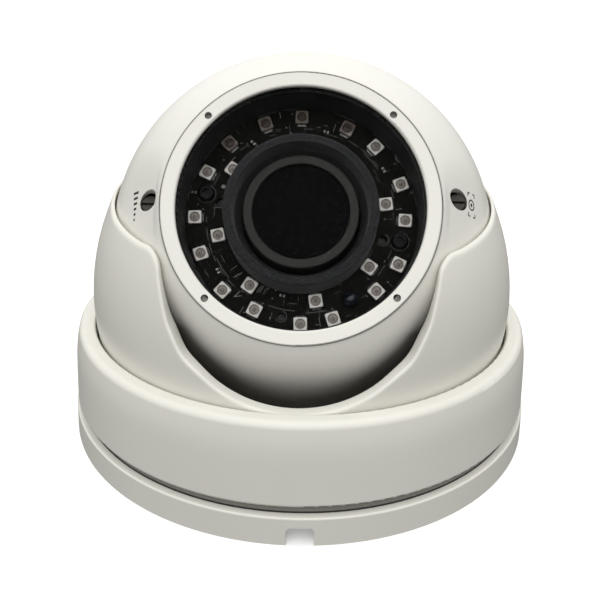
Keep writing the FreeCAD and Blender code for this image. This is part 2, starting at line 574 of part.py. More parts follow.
# carrier under the illuminator board, with the upper spindle bearings
lc = ring(LED_BOARD_R, 14.2, 23.7, 24.7)
parts = [cyl(2.2, 21.6, 24.0, x, y) for x, y in BOARD_SCREWS]
for a in (60, 120, 240, 300):
    p = pol(25.0, a)
    parts.append(cyl(2.0, 11.0, 24.0, p.x, p.y))
for sx in (-1, 1):
    x0, x1 = (27.9, 30.3) if sx > 0 else (-30.3, -27.9)
    tabw = box(x0, x1, adj_y(sx) - 3.0, adj_y(sx) + 3.0, 23.7, 27.3).cut(cyl(LED_BOARD_R + 0.15, 24.7, 28))
    x0, x1 = (30.0, ADJ_XR) if sx > 0 else (-ADJ_XL, -30.0)
    parts += [tabw, box(x0, x1, adj_y(sx) - 3.0, adj_y(sx) + 3.0, 24.9, 26.5), cyl(2.4, 24.9, 26.5, sx * adj_x(sx), adj_y(sx))]
lc = lc.fuse(parts)
lcc = [cyl(1.0, 20, 25, x, y) for x, y in BOARD_SCREWS] + [box(0.8, 9.2, -19.2, -14.8, 20, 26)]
for sx in (-1, 1):
    lcc.append(cyl(SPINDLE_BORE_R, 20, 30, sx * adj_x(sx), adj_y(sx)))
add("led_carrier", clean(lc.cut(lcc)), True)

# chassis plate carrying lens, boards and the lower spindle bearings
ch = ring(38.0, 19.0, 9.0, 11.0)
parts = []
for a in (90, 210, 330):
    p = pol(39.0, a)
    parts.append(cyl(2.8, 9.0, 11.0, p.x, p.y))
for sx in (-1, 1):
    parts.append(cyl(3.0, 9.0, 13.0, sx * adj_x(sx), adj_y(sx)))
# two bridges that hold the foot of the barrel
for a in (0, 180):
    b = box(12.9, 20.0, -6.0, -2.8, 9.0, 11.0)
    b.rotate(V(0, 0, 0), V(0, 0, 1), a + 90)
    parts.append(b)
for a in (90, 270):
    b = box(12.9, 20.0, -2.0, 2.0, 9.0, 11.0)
    b.rotate(V(0, 0, 0), V(0, 0, 1), a)
    parts.append(b)
ch = ch.fuse(parts)
cc = [cyl(1.25, 5, 15, *pol(39.0, a)[:2]) for a in (90, 210, 330)]
cc += [cyl(1.25, 5, 15, sx * 16.5, sy * 16.5) for sx in (-1, 1) for sy in (-1, 1)]
cc += [cyl(SPINDLE_BORE_R, 5, 15, sx * adj_x(sx), adj_y(sx)) for sx in (-1, 1)]
cc += [cyl(BARREL_R, 5, 15)]
add("chassis_plate", clean(ch.cut(cc)), True)
add("chassis_screws", group([pan_head_screw(2.3, 1.4, 1.25, 7.6, 9.0, 15.5, *pol(39.0, a)[:2]) for a in (90, 210, 330)]), True)

# lens: baffle, barrel, front element and the two moving groups
fm = rev((13.4, LED_H), [(17.3, LED_H), (FOAM_R + 0.05, FOAM_H - 0.9), (FOAM_R - 0.2, FOAM_H - 0.2, FOAM_R - 0.8, FOAM_H),
                         (FOAM_IN_R + 0.4, FOAM_H), (FOAM_IN_R + 0.1, FOAM_H - 0.1, FOAM_IN_R, FOAM_H - 0.4), (FOAM_IN_R - 0.25, 30.2), (13.4, 28.8)])
add("light_baffle", fm, True)

barrel = rev((BARREL_IN_R, 4.0), [
    (BARREL_R, 4.0), (BARREL_R, BARREL_H - 0.4), (BARREL_R - 0.1, BARREL_H - 0.1, BARREL_R - 0.4, BARREL_H),
    (LENS_RING_IN_R + 0.2, BARREL_H), (LENS_RING_IN_R, BARREL_H - 0.2), (LENS_RING_IN_R, 32.3), (LENS_RING_IN_R, 28.4),
    (9.6, 28.4), (9.6, 27.4), (BARREL_IN_R, 26.6)])
slots = [box(-14, -9, ZOOM_Y - 2.1, ZOOM_Y + 2.1, 14.2, 23.8), box(9, 14, FOCUS_Y - 2.1, FOCUS_Y + 2.1, 5.0, 11.9)]
barrel = clean(barrel.cut(slots))
add("lens_barrel", barrel, True)

fe = glass_disc(10.65, 28.6, -0.8, 32.5, 0.6)
add("lens_front_element", fe, True)

zg = join([ring(10.9, 7.4, 16.0, 22.0), box(-ADJ_XL, -10.2, ZOOM_Y - 1.6, ZOOM_Y + 1.6, 17.5, 20.5), cyl(3.2, 16.5, 21.5, -ADJ_XL, ZOOM_Y)])
zg = zg.cut(cyl(SPINDLE_BORE_R, 10, 30, -ADJ_XL, ZOOM_Y))
add("zoom_group", clean(zg), True)
add("zoom_group_lens", glass_disc(7.4, 16.6, -0.9, 21.2, -1.0), True)

fg = join([ring(10.9, 6.6, 6.0, 11.0), box(10.2, 16.6, FOCUS_Y - 1.6, FOCUS_Y + 1.6, 7.0, 10.0),
           box(14.0, 16.6, FOCUS_Y - 1.6, FOCUS_Y + 1.6, 7.0, 20.5), box(14.0, ADJ_XR, FOCUS_Y - 1.6, FOCUS_Y + 1.6, 17.5, 20.5),
           cyl(3.2, 16.5, 21.5, ADJ_XR, FOCUS_Y)])
fg = fg.cut(cyl(SPINDLE_BORE_R, 10, 30, ADJ_XR, FOCUS_Y))
add("focus_group", clean(fg), True)
add("focus_group_lens", glass_disc(6.6, 7.4, 0.8, 10.0, 0.9), True)


def spindle(sx):
    s = join([cyl(SPINDLE_R, 9.3, 28.2, sx * adj_x(sx), adj_y(sx)), cyl(1.9, 28.0, 30.1, sx * adj_x(sx), adj_y(sx))])
    s = s.cut(box(sx * adj_x(sx) - 2.5, sx * adj_x(sx) + 2.5, adj_y(sx) - 0.3, adj_y(sx) + 0.3, 29.0, 31.0))
    return clean(s)


add("zoom_spindle", spindle(-1), True)
add("focus_spindle", spindle(1), True)

# lens holder with the filter channel
lh = join([rbox(-16.5, 16.5, -10.0, 10.0, -4.9, 3.0, 1.5), cyl(13.4, 2.0, 4.0)])
lh = lh.cut([cyl(7.5, -3.4, 6.0), box(-7.6, 7.6, -7.6, 7.6, -6.0, -3.0),
             box(-14.6, 14.6, -5.6, 5.6, -0.7, 0.9)])
add("lens_holder", clean(lh), True)
sh = box(SHUTTLE_OFF - SHUTTLE_L / 2, SHUTTLE_OFF + SHUTTLE_L / 2, -SHUTTLE_W / 2, SHUTTLE_W / 2, -0.35, -0.35 + SHUTTLE_T)
sh = sh.cut([cyl(4.1, -0.15, 2, SHUTTLE_OFF + s * SHUTTLE_OFF, 0) for s in (-1, 1)] + [cyl(3.6, -2, 2, SHUTTLE_OFF + s * SHUTTLE_OFF, 0) for s in (-1, 1)])
add("ir_shuttle", clean(sh), True)
add("ir_filters", group([cyl(4.1, -0.15, 0.4, SHUTTLE_OFF + s * SHUTTLE_OFF, 0) for s in (-1, 1)]), True)
mt = join([rbox(-5.0, 5.0, 10.0, 16.5, -4.9, 1.6, 1.0), cyl(1.6, 1.6, 1.9, 0, 13.2)])
add("ir_cut_motor", mt, True)

# electronics
sb = rbox(-19, 19, -19, 19, -6.5, -4.9, 2.0).cut([cyl(1.3, -8, 0, sx * 16.5, sy * 16.5) for sx in (-1, 1) for sy in (-1, 1)])
add("sensor_board", clean(sb), True)
add("image_sensor", join([box(-6.0, 6.0, -5.5, 5.5, -4.9, -4.0), box(-5.2, 5.2, -4.7, 4.7, -4.0, -3.7)]), True)
pb = rbox(-19, 19, -19, 19, -17.0, -15.4, 2.0).cut([cyl(1.3, -19, -14, sx * 16.5, sy * 16.5) for sx in (-1, 1) for sy in (-1, 1)])
add("power_board", clean(pb), True)
comps = [box(-4.5, 4.5, -4.5, 4.5, -7.9, -6.5), box(-13, -9.5, -3, 3, -7.7, -6.5), box(8.5, 12.5, 5, 12, -8.0, -6.5),
         cyl(3.1, -24.4, -17.0, 9.5, 9.5), cyl(3.1, -24.4, -17.0, 2.6, 10.4), rbox(-13.5, -6.5, 5.0, 12.0, -21.0, -17.0, 1.2),
         box(-12, -5, -12, -6, -18.6, -17.0), box(-3, 1, -3.5, 1.5, -18.2, -17.0), box(5, 10, -4, 3.0, -18.9, -17.0)]
add("board_components", group(comps), True)
conns = [box(1.5, 8.5, -18.6, -15.2, -4.9, -1.4), box(1.5, 8.5, -18.6, -15.2, 21.4, 24.7), box(-9.0, 9.0, 12.8, 15.2, -15.4, -6.5).cut(box(-8.4, 8.4, 13.4, 14.6, -12.5, -9.5)),
         box(-6.0, 6.0, -17.5, -12.5, -23.0, -17.0).cut(box(-5.2, 5.2, -16.7, -13.3, -23.5, -18.5))]
add("board_connectors", group(conns), True)
add("led_leads", group([cyl(0.55, -1.4, 21.4, x, -16.9) for x in (3.2, 5.0, 6.8)]), True)
so = []
for sx in (-1, 1):
    for sy in (-1, 1):
        so.append(join([cyl(2.4, -4.9, 9.0, sx * 16.5, sy * 16.5), cyl(1.25, 9.0, 11.0, sx * 16.5, sy * 16.5)]))
        so.append(cyl(2.4, -15.4, -6.5, sx * 16.5, sy * 16.5))
add("standoffs", group(so), True)
bs = []
for sx in (-1, 1):
    for sy in (-1, 1):
        bs.append(pan_head_screw(2.2, 1.5, 1.3, -18.5, -17.0, -15.4, sx * 16.5, sy * 16.5))
add("board_screws", group(bs), True)

# ---------------------------------------------------------------- export
for name, shape in NODES.items():
    shape.exportStep("parts/%s.step" % name)
    ok = shape.isValid()
    print("%-24s solids %2d volume %10.2f valid %s" % (name, len(shape.Solids), shape.Volume, ok))
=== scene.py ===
import bpy, bmesh, math, json
from mathutils import Vector, Matrix, noise


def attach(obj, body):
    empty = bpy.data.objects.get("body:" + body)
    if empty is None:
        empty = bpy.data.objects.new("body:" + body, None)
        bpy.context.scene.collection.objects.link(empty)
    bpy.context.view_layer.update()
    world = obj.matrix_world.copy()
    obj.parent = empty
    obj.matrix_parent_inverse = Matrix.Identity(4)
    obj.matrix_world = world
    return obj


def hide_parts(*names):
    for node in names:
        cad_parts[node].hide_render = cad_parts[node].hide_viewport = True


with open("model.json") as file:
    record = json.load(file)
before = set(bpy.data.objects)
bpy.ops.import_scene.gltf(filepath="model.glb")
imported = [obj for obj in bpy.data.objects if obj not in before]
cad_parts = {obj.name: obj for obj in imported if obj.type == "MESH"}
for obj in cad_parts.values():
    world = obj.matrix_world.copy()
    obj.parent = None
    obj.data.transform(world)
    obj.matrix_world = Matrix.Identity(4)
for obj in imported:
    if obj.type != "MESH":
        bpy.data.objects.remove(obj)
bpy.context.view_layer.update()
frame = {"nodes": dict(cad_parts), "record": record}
N = frame["nodes"]
MM = 0.001

# ------------------------------------------------------------------ camera
cam_data = bpy.data.cameras.new("camera")
cam = bpy.data.objects.new("camera", cam_data)
bpy.context.scene.collection.objects.link(cam)
right = Vector((0.99955, 0.02550, 0.01591)).normalized()
fwd = Vector((-0.01670, 0.91134, -0.41132)).normalized()
right = (right - fwd * right.dot(fwd)).normalized()
up = right.cross(fwd)
cam.matrix_world = Matrix((
    (right.x, up.x, -fwd.x, 0.00297),
    (right.y, up.y, -fwd.y, -0.18227),
    (right.z, up.z, -fwd.z, 0.11191),
    (0, 0, 0, 1)))
cam_data.sensor_width = 36.0
cam_data.lens = 44.08
cam_data.clip_start = 0.01
cam_data.clip_end = 20
bpy.context.scene.camera = cam

# ------------------------------------------------------------------ stage
scene = bpy.context.scene
scene.view_settings.view_transform = "Standard"
scene.view_settings.look = "None"
scene.view_settings.exposure = 0.0
scene.view_settings.gamma = 1.0


def new_object(name, mesh):
    o = bpy.data.objects.new(name, mesh)
    scene.collection.objects.link(o)
    return o


def principled(name):
    m = bpy.data.materials.new(name)
    m.use_nodes = True
    nt = m.node_tree
    for n in list(nt.nodes):
        nt.nodes.remove(n)
    out = nt.nodes.new("ShaderNodeOutputMaterial")
    b = nt.nodes.new("ShaderNodeBsdfPrincipled")
    nt.links.new(b.outputs["BSDF"], out.inputs["Surface"])
    return m, nt, b


def srgb(r, g, b):
    return tuple((c / 255 / 12.92) if c / 255 <= 0.04045 else ((c / 255 + 0.055) / 1.055) ** 2.4 for c in (r, g, b)) + (1.0,)


def coords(nt, scale=1.0):
    """Object coordinates in millimetres, the same on every piece."""
    tc = nt.nodes.new("ShaderNodeTexCoord")
    mp = nt.nodes.new("ShaderNodeMapping")
    mp.inputs["Scale"].default_value = (1000 * scale,) * 3
    nt.links.new(tc.outputs["Object"], mp.inputs["Vector"])
    return mp.outputs["Vector"]


def noise_tex(nt, vec, scale, detail=2.0, rough=0.5):
    n = nt.nodes.new("ShaderNodeTexNoise")
    n.inputs["Scale"].default_value = scale
    n.inputs["Detail"].default_value = detail
    n.inputs["Roughness"].default_value = rough
    nt.links.new(vec, n.inputs["Vector"])
    return n.outputs["Fac"]


def ramp(nt, fac, stops):
    r = nt.nodes.new("ShaderNodeValToRGB")
    els = r.color_ramp.elements
    while len(els) < len(stops):
        els.new(0.5)
    for e, (p, c) in zip(els, stops):
        e.position = p
        e.color = c if isinstance(c, tuple) else (c, c, c, 1.0)
    nt.links.new(fac, r.inputs["Fac"])
    return r.outputs["Color"]


def remap(nt, fac, a0, a1, b0, b1):
    m = nt.nodes.new("ShaderNodeMapRange")
    for k, v in zip(("From Min", "From Max", "To Min", "To Max"), (a0, a1, b0, b1)):
        m.inputs[k].default_value = v
    nt.links.new(fac, m.inputs["Value"])
    return m.outputs["Result"]


def bump(nt, b, height, strength, dist_mm, normal=None):
    n = nt.nodes.new("ShaderNodeBump")
    n.inputs["Strength"].default_value = strength
    n.inputs["Distance"].default_value = dist_mm * MM
    nt.links.new(height, n.inputs["Height"])
    if normal is not None:
        nt.links.new(normal, n.inputs["Normal"])
    if b is not None:
        nt.links.new(n.outputs["Normal"], b.inputs["Normal"])
    return n.outputs["Normal"]


def mix_col(nt, fac, a, c, mode="MIX"):
    m = nt.nodes.new("ShaderNodeMix")
    m.data_type = "RGBA"
    m.blend_type = mode
    ins = [i for i in m.inputs if i.type == "RGBA"]
    for sock, v in ((m.inputs[0], fac), (ins[0], a), (ins[1], c)):
        if hasattr(v, "is_linked") or hasattr(v, "links"):
            nt.links.new(v, sock)
        else:
            sock.default_value = v
    return [o for o in m.outputs if o.type == "RGBA"][0]


def math_node(nt, op, a, b=None):
    m = nt.nodes.new("ShaderNodeMath")
    m.operation = op
    for i, v in enumerate((a, b)):
        if v is None:
            continue
        if hasattr(v, "links"):
            nt.links.new(v, m.inputs[i])
        else:
            m.inputs[i].default_value = v
    return m.outputs[0]


def paint(name, col, rough=0.42, specks=0.0, seed=0.0):
    """Satin powder coat: slight tone drift, fine orange peel, a few specks of dust."""
    m, nt, b = principled(name)
    v = coords(nt)
    big = noise_tex(nt, v, 0.035, 3.0)
    fine = noise_tex(nt, v, 1.6, 3.0, 0.6)
    peel = noise_tex(nt, v, 0.9, 2.0, 0.5)
    tone = ramp(nt, big, [(0.35, tuple(c * 0.975 for c in col[:3]) + (1,)), (0.65, col)])
    if specks:
        vo = nt.nodes.new("ShaderNodeTexVoronoi")
        vo.inputs["Scale"].default_value = 0.28
        nt.links.new(v, vo.inputs["Vector"])
        near = remap(nt, vo.outputs["Distance"], 0.0, 0.035, 1.0, 0.0)
        gate = remap(nt, noise_tex(nt, v, 0.11, 1.0), 0.56, 0.6, 0.0, specks)
        tone = mix_col(nt, math_node(nt, "MULTIPLY", near, gate), tone, (0.16, 0.14, 0.11, 1))
    nt.links.new(tone, b.inputs["Base Color"])
    nt.links.new(remap(nt, fine, 0.3, 0.7, rough - 0.05, rough + 0.06), b.inputs["Roughness"])
    b.inputs["Specular IOR Level"].default_value = 0.42
    bump(nt, b, peel, 0.12, 0.05)
    return m


def eye_rh(nt):
    """Radius from the optical axis and height along it, in millimetres."""
    v = coords(nt)
    sub = nt.nodes.new("ShaderNodeVectorMath")
    sub.operation = "SUBTRACT"
    nt.links.new(v, sub.inputs[0])
    sub.inputs[1].default_value = (0, 0, 45.4)
    dot = nt.nodes.new("ShaderNodeVectorMath")
    dot.operation = "DOT_PRODUCT"
    nt.links.new(sub.outputs[0], dot.inputs[0])
    dot.inputs[1].default_value = (0, -math.cos(math.radians(33.2)), math.sin(math.radians(33.2)))
    ln = nt.nodes.new("ShaderNodeVectorMath")
    ln.operation = "LENGTH"
    nt.links.new(sub.outputs[0], ln.inputs[0])
    h = dot.outputs["Value"]
    r2 = math_node(nt, "SUBTRACT", math_node(nt, "MULTIPLY", ln.outputs["Value"], ln.outputs["Value"]), math_node(nt, "MULTIPLY", h, h))
    return math_node(nt, "SQRT", math_node(nt, "MAXIMUM", r2, 0.0)), h


def shade_by(mat, fac, col):
    """Mixes a darker tone into a finished paint by a mask."""
    nt = mat.node_tree
    b = next(n for n in nt.nodes if n.type == "BSDF_PRINCIPLED")
    if b.inputs["Base Color"].is_linked:
        src = b.inputs["Base Color"].links[0].from_socket
    else:
        plain = nt.nodes.new("ShaderNodeRGB")
        plain.outputs[0].default_value = tuple(b.inputs["Base Color"].default_value)
        src = plain.outputs[0]
    nt.links.new(mix_col(nt, fac, src, col), b.inputs["Base Color"])


# Painted shade: a thin dark band along the seam groove between the bezel and the shell.
def seam_shade_mask(nt):
    r, h = eye_rh(nt)
    d = math_node(nt, "ABSOLUTE", math_node(nt, "SUBTRACT", r, 30.15))
    near = remap(nt, d, 0.06, 0.46, 0.36, 0.0)
    gate = remap(nt, h, 36.6, 37.0, 0.0, 1.0)
    return math_node(nt, "MULTIPLY", near, gate)


# Painted shade: picks out the top row of emitters, under the bezel, for darker tones.
def top_row_shade_mask(nt):
    v = coords(nt)
    sep = nt.nodes.new("ShaderNodeSeparateXYZ")
    nt.links.new(v, sep.inputs[0])
    r, h = eye_rh(nt)
    up = math_node(nt, "SUBTRACT", sep.outputs["Z"], math_node(nt, "MULTIPLY", h, math.sin(math.radians(33.2))))
    lean = math_node(nt, "SUBTRACT", math_node(nt, "MULTIPLY", math_node(nt, "SUBTRACT", up, 45.4), 1.0 / math.cos(math.radians(33.2))), math_node(nt, "MULTIPLY", sep.outputs["X"], 0.24))
    return remap(nt, lean, 16.2, 18.4, 0.0, 1.0)


# Painted shade: darker below 9 mm height, in the recess under the trim ring's lower edge.
def recess_shade_mask(nt):
    v = coords(nt)
    sep = nt.nodes.new("ShaderNodeSeparateXYZ")
    nt.links.new(v, sep.inputs[0])
    return remap(nt, sep.outputs["Z"], 9.04, 8.96, 0.0, 0.86)


def plastic(name, col, rough=0.5, grain=2.0, depth=0.03, drift=0.9):
    m, nt, b = principled(name)
    v = coords(nt)
    n = noise_tex(nt, v, grain, 3.0)
    nt.links.new(ramp(nt, noise_tex(nt, v, 0.12, 2.0), [(0.35, tuple(c * drift for c in col[:3]) + (1,)), (0.65, col)]), b.inputs["Base Color"])
    nt.links.new(remap(nt, n, 0.3, 0.7, max(0.02, rough - 0.07), rough + 0.07), b.inputs["Roughness"])
    bump(nt, b, n, 0.3, depth)
    return m


def metal(name, col, rough=0.3, grain=0.9):
    m, nt, b = principled(name)
    v = coords(nt)
    n = noise_tex(nt, v, grain, 4.0, 0.6)
    nt.links.new(ramp(nt, n, [(0.3, tuple(c * 0.82 for c in col[:3]) + (1,)), (0.7, col)]), b.inputs["Base Color"])
    nt.links.new(remap(nt, n, 0.3, 0.7, rough - 0.08, rough + 0.1), b.inputs["Roughness"])
    b.inputs["Metallic"].default_value = 1.0
    bump(nt, b, n, 0.15, 0.02)
    return m


PAINT = (0.80, 0.785, 0.725, 1)
MAT = {
    "paint_base": paint("paint_base", PAINT, 0.44, 0.5),
    "paint_cradle": paint("paint_cradle", PAINT, 0.42, 0.35),
    "paint_eyeball": paint("paint_eyeball", (0.82, 0.805, 0.75, 1), 0.4, 0.5),
    "paint_bezel": paint("paint_bezel", (0.82, 0.805, 0.75, 1), 0.4, 0.2),
    "rubber_seal": plastic("rubber_seal", (0.018, 0.018, 0.018, 1), 0.7),
    "screw_steel": metal("screw_steel", (0.55, 0.55, 0.56, 1), 0.32),
    "screw_black": metal("screw_black", (0.014, 0.014, 0.014, 1), 0.45),
    # The spindle metal is near black: painted shade for the deep adjuster holes it sits in.
    "spindle_metal": metal("spindle_metal", (0.045, 0.043, 0.038, 1), 0.34),
    "nylon": plastic("nylon", (0.72, 0.71, 0.66, 1), 0.5),
    "print_black": plastic("print_black", (0.012, 0.012, 0.012, 1), 0.55),
    "board_black": plastic("board_black", (0.0052, 0.0052, 0.0038, 1), 0.6),
    "board_green": plastic("board_green", (0.015, 0.10, 0.045, 1), 0.4),
    "led_body": plastic("led_body", (0.88, 0.865, 0.82, 1), 0.4),
    "moulding_black": plastic("moulding_black", (0.02, 0.02, 0.02, 1), 0.55),
    "foam_black": plastic("foam_black", (0.016, 0.017, 0.020, 1), 0.9, 1.2, 0.4),
    "lens_black": plastic("lens_black", (0.021, 0.0205, 0.018, 1), 0.55),
    "motor_case": plastic("motor_case", (0.03, 0.03, 0.03, 1), 0.5),
    "component_black": plastic("component_black", (0.02, 0.02, 0.02, 1), 0.35),
    "connector_white": plastic("connector_white", (0.7, 0.68, 0.6, 1), 0.4),
    "lead_red": plastic("lead_red", (0.35, 0.02, 0.015, 1), 0.45),
}


# Painted shade along the bezel seam, in the shell paint and in the bezel paint.
for key in ("paint_eyeball", "paint_bezel"):
    shade_by(MAT[key], seam_shade_mask(MAT[key].node_tree), (0.10, 0.095, 0.085, 1))
# Painted shade inside the bezel's pin spanner holes: the hole walls get darker with depth below the face.
hole_nt = MAT["paint_bezel"].node_tree
hole_r, hole_h = eye_rh(hole_nt)
hole_shade_gate = math_node(hole_nt, "MULTIPLY", remap(hole_nt, hole_r, 27.4, 27.5, 0.0, 1.0), remap(hole_nt, hole_r, 29.3, 29.4, 1.0, 0.0))
shade_by(MAT["paint_bezel"], math_node(hole_nt, "MULTIPLY", hole_shade_gate, remap(hole_nt, hole_h, 37.78, 37.30, 0.0, 0.8)), (0.16, 0.155, 0.145, 1))
# Painted shade on the eyeball paint: an ambient occlusion node darkens the ball in its hollows, fully below 41 mm
# height and only a tenth as much above 52 mm, and not at all where the surface faces straight sideways.
for key in ("paint_eyeball",):
    nt = MAT[key].node_tree
    ao = nt.nodes.new("ShaderNodeAmbientOcclusion")
    ao.samples = 16
    ao.inputs["Distance"].default_value = 0.014
    geo = nt.nodes.new("ShaderNodeNewGeometry")
    sep = nt.nodes.new("ShaderNodeSeparateXYZ")
    nt.links.new(geo.outputs["Normal"], sep.inputs[0])
    where = nt.nodes.new("ShaderNodeSeparateXYZ")
    nt.links.new(geo.outputs["Position"], where.inputs[0])
    gate = math_node(nt, "MULTIPLY", remap(nt, math_node(nt, "ABSOLUTE", sep.outputs["X"], 0.0), 0.75, 0.92, 1.0, 0.0), remap(nt, where.outputs["Z"], 0.041, 0.052, 1.0, 0.10))
    shade_by(MAT[key], math_node(nt, "MULTIPLY", remap(nt, ao.outputs["AO"], 0.90, 0.38, 0.0, 0.97), gate), (0.045, 0.041, 0.036, 1))
# Trim ring paint with painted shade on its skirt, in the recess above the base.
MAT["paint_trim"] = paint("paint_trim", PAINT, 0.44, 0.5)
shade_by(MAT["paint_trim"], recess_shade_mask(MAT["paint_trim"].node_tree), (0.12, 0.115, 0.10, 1))


def clear(name, col, alpha, rough=0.04):
    m, nt, b = principled(name)
    v = coords(nt)
    n = noise_tex(nt, v, 0.25, 2.0)
    nt.links.new(remap(nt, n, 0.3, 0.7, rough * 0.6, rough * 1.5), b.inputs["Roughness"])
    b.inputs["Base Color"].default_value = col
    b.inputs["Alpha"].default_value = alpha
    b.inputs["Specular IOR Level"].default_value = 0.5
    return m


MAT["window_glass"] = clear("window_glass", (0.006, 0.006, 0.006, 1), 0.06)
MAT["led_dome"] = clear("led_dome", (0.48, 0.445, 0.41, 1), 0.38)
MAT["sensor_dome"] = clear("sensor_dome", (0.006, 0.008, 0.015, 1), 1.0)
MAT["lens_glass"] = clear("lens_glass", (0.0008, 0.0008, 0.0009, 1), 1.0)
MAT["filter_glass"] = clear("filter_glass", (0.3, 0.1, 0.08, 1), 0.5)
MAT["sensor_chip"] = clear("sensor_chip", (0.03, 0.035, 0.05, 1), 1.0)

for key, level in (("board_black", 0.06), ("lens_glass", 0.02), ("window_glass", 0.08), ("lens_black", 0.25)):
    next(n for n in MAT[key].node_tree.nodes if n.type == "BSDF_PRINCIPLED").inputs["Specular IOR Level"].default_value = level

for row in frame["record"]["subparts"]:
    o = N[row["node"]]
    o.data.materials.clear()
    o.data.materials.append(MAT[row["material_slot"]])
N["trim_ring"].data.materials[0] = MAT["paint_trim"]

# ------------------------------------------------------------------ detail pieces
# eye frame: x = +X, y = up in the face, z = along the optical axis from the tilt pivot, in mm
EYE = Matrix.Translation((0, 0, 0.0454)) @ Matrix.Rotation(math.radians(56.8), 4, "X") @ Matrix.Scale(MM, 4)
BASE_M = Matrix.Scale(MM, 4)


def piece(name, bm, mats, body, cad=(), frame_m=EYE, sharp=35.0, normals=None):
    """Turns a bmesh in millimetres into a piece that rides on a body."""
    bm.normal_update()
    for e in bm.edges:
        if len(e.link_faces) == 2 and e.calc_face_angle(0.0) > math.radians(sharp):
            e.smooth = False
    for f in bm.faces:
        f.smooth = True
    me = bpy.data.meshes.new(name)
    bm.to_mesh(me)
    bm.free()
    me.transform(frame_m)
    if normals is not None:
        rot = frame_m.to_3x3().normalized()
        me.normals_split_custom_set_from_vertices([tuple((rot @ Vector(n)).normalized()) if n is not None else (0, 0, 0) for n in normals])
    for m in (mats if isinstance(mats, (list, tuple)) else [mats]):
        me.materials.append(m)
    o = new_object(name, me)
    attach(o, body)
    if cad:
        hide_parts(*cad)
    return o


def loops(bm, rings, close_last=False, mat=0):
    """Skins a list of point rings, each with the same number of points."""
    vr = [[bm.verts.new(p) for p in r] for r in rings]
    n = len(vr[0])
    for a, b in zip(vr[:-1], vr[1:]):
        for i in range(n):
            f = bm.faces.new((a[i], a[(i + 1) % n], b[(i + 1) % n], b[i]))
            f.material_index = mat
    if close_last:
        f = bm.faces.new(vr[-1])
        f.material_index = mat
    return vr


def lathe(bm, profile, seg=192, cx=0.0, cy=0.0, closed=True, mat=0, wobble=None):
    """Revolves an (r, z) profile about the eye axis or an axis parallel to it."""
    rings = []
    for k in range(seg):
        a = 2 * math.pi * k / seg
        col = []
        for i, (r, z) in enumerate(profile):
            p = Vector((cx + r * math.cos(a), cy + r * math.sin(a), z))
            if wobble:
                p = wobble(p, i)
            col.append(bm.verts.new(p))
        rings.append(col)
    n = len(profile)
    for k in range(seg):
        c0, c1 = rings[k], rings[(k + 1) % seg]
        for i in range(n if closed else n - 1):
            j = (i + 1) % n
            f = bm.faces.new((c0[i], c1[i], c1[j], c0[j]))
            f.material_index = mat


def arc_pts(cx, cz, r, a0, a1, n):
    return [(cx + r * math.cos(math.radians(a0 + (a1 - a0) * i / n)), cz + r * math.sin(math.radians(a0 + (a1 - a0) * i / n))) for i in range(n + 1)]


# cradle: the same walls as the casting, with a rounded lip all round the opening
CR_OUT = [(24.0, 53.4), (27.5, 53.75), (30.5, 54.0), (33.5, 54.1), (36.5, 54.03), (39.8, 53.72), (43.5, 53.15), (47.1, 52.35), (50.8, 51.3), (54.4, 50.0), (57.9, 48.5), (61.3, 47.0), (65.0, 45.3)]
CR_IN = [(33.0, 50.6), (34.5, 50.5), (36.0, 50.22), (37.5, 49.8), (39.0, 49.35), (40.5, 48.98), (42.0, 48.78)]
RIM = [(0.0, 27.65), (5.5, 28.0), (11.6, 29.2), (18.4, 31.8), (23.4, 34.8), (29.0, 38.2), (33.0, 42.9),
       (35.5, 48.6), (36.7, 51.8), (38.3, 55.3), (41.0, 57.0), (47.5, 57.5), (55.0, 57.95), (64.0, 58.6), (73.5, 59.6),
       (82.0, 60.6), (92.0, 61.5), (105.0, 62.1), (130.0, 62.2), (155.0, 62.2), (180.0, 62.2)]


def hermite(xs, ys, x):
    """Smooth curve through points, values may be numbers or vectors."""
    n = len(xs)
    i = 0
    while i < n - 2 and x > xs[i + 1]:
        i += 1

    def slope(k):
        if k <= 0:
            return (ys[1] - ys[0]) / (xs[1] - xs[0])
        if k >= n - 1:
            return (ys[-1] - ys[-2]) / (xs[-1] - xs[-2])
        h0, h1 = xs[k] - xs[k - 1], xs[k + 1] - xs[k]
        return ((ys[k] - ys[k - 1]) / h0 * h1 + (ys[k + 1] - ys[k]) / h1 * h0) / (h0 + h1)
    h = xs[i + 1] - xs[i]
    t = (x - xs[i]) / h
    return ys[i] * (2 * t ** 3 - 3 * t * t + 1) + slope(i) * h * (t ** 3 - 2 * t * t + t) + ys[i + 1] * (3 * t * t - 2 * t ** 3) + slope(i + 1) * h * (t ** 3 - t * t)


OZ, ORR = [z for z, _ in CR_OUT], [r for _, r in CR_OUT]
IZ, IRR = [z for z, _ in CR_IN], [r for _, r in CR_IN]


def r_out(z):
    return 53.4 if z <= 24.0 else hermite(OZ, ORR, z)


def r_in(z):
    if z >= 42.0:
        return math.sqrt(48.9 ** 2 - (z - 45.4) ** 2)
    return 50.6 if z <= 33.0 else hermite(IZ, IRR, z)


def cyl_n(fn, p):
    """Outward normal of a surface of revolution r = fn(z)."""
    r = math.hypot(p.x, p.y)
    g = (fn(p.z + 0.05) - fn(p.z - 0.05)) / 0.1
    return Vector((p.x / r, p.y / r, -g)).normalized()


def snap(fn, p):
    r = math.hypot(p.x, p.y)
    k = fn(p.z) / r
    return Vector((p.x * k, p.y * k, p.z))


def cradle_rim(off):
    full = [(a, z) for a, z in RIM] + [(360.0 - a, z) for a, z in reversed(RIM[1:-1])]
    pts = []
    for a, z in full:
        side = a if a <= 180 else a - 360.0
        t = min(1.0, max(0.0, (abs(side) - 38.0) / 30.0))
        d = math.radians(side * t * t * (3 - 2 * t))
        r, g = r_in(z), math.radians(side)
        pts.append(Vector((r * math.sin(g) + off * math.sin(d), -r * math.cos(g) - off * math.cos(d), z)))
    return pts


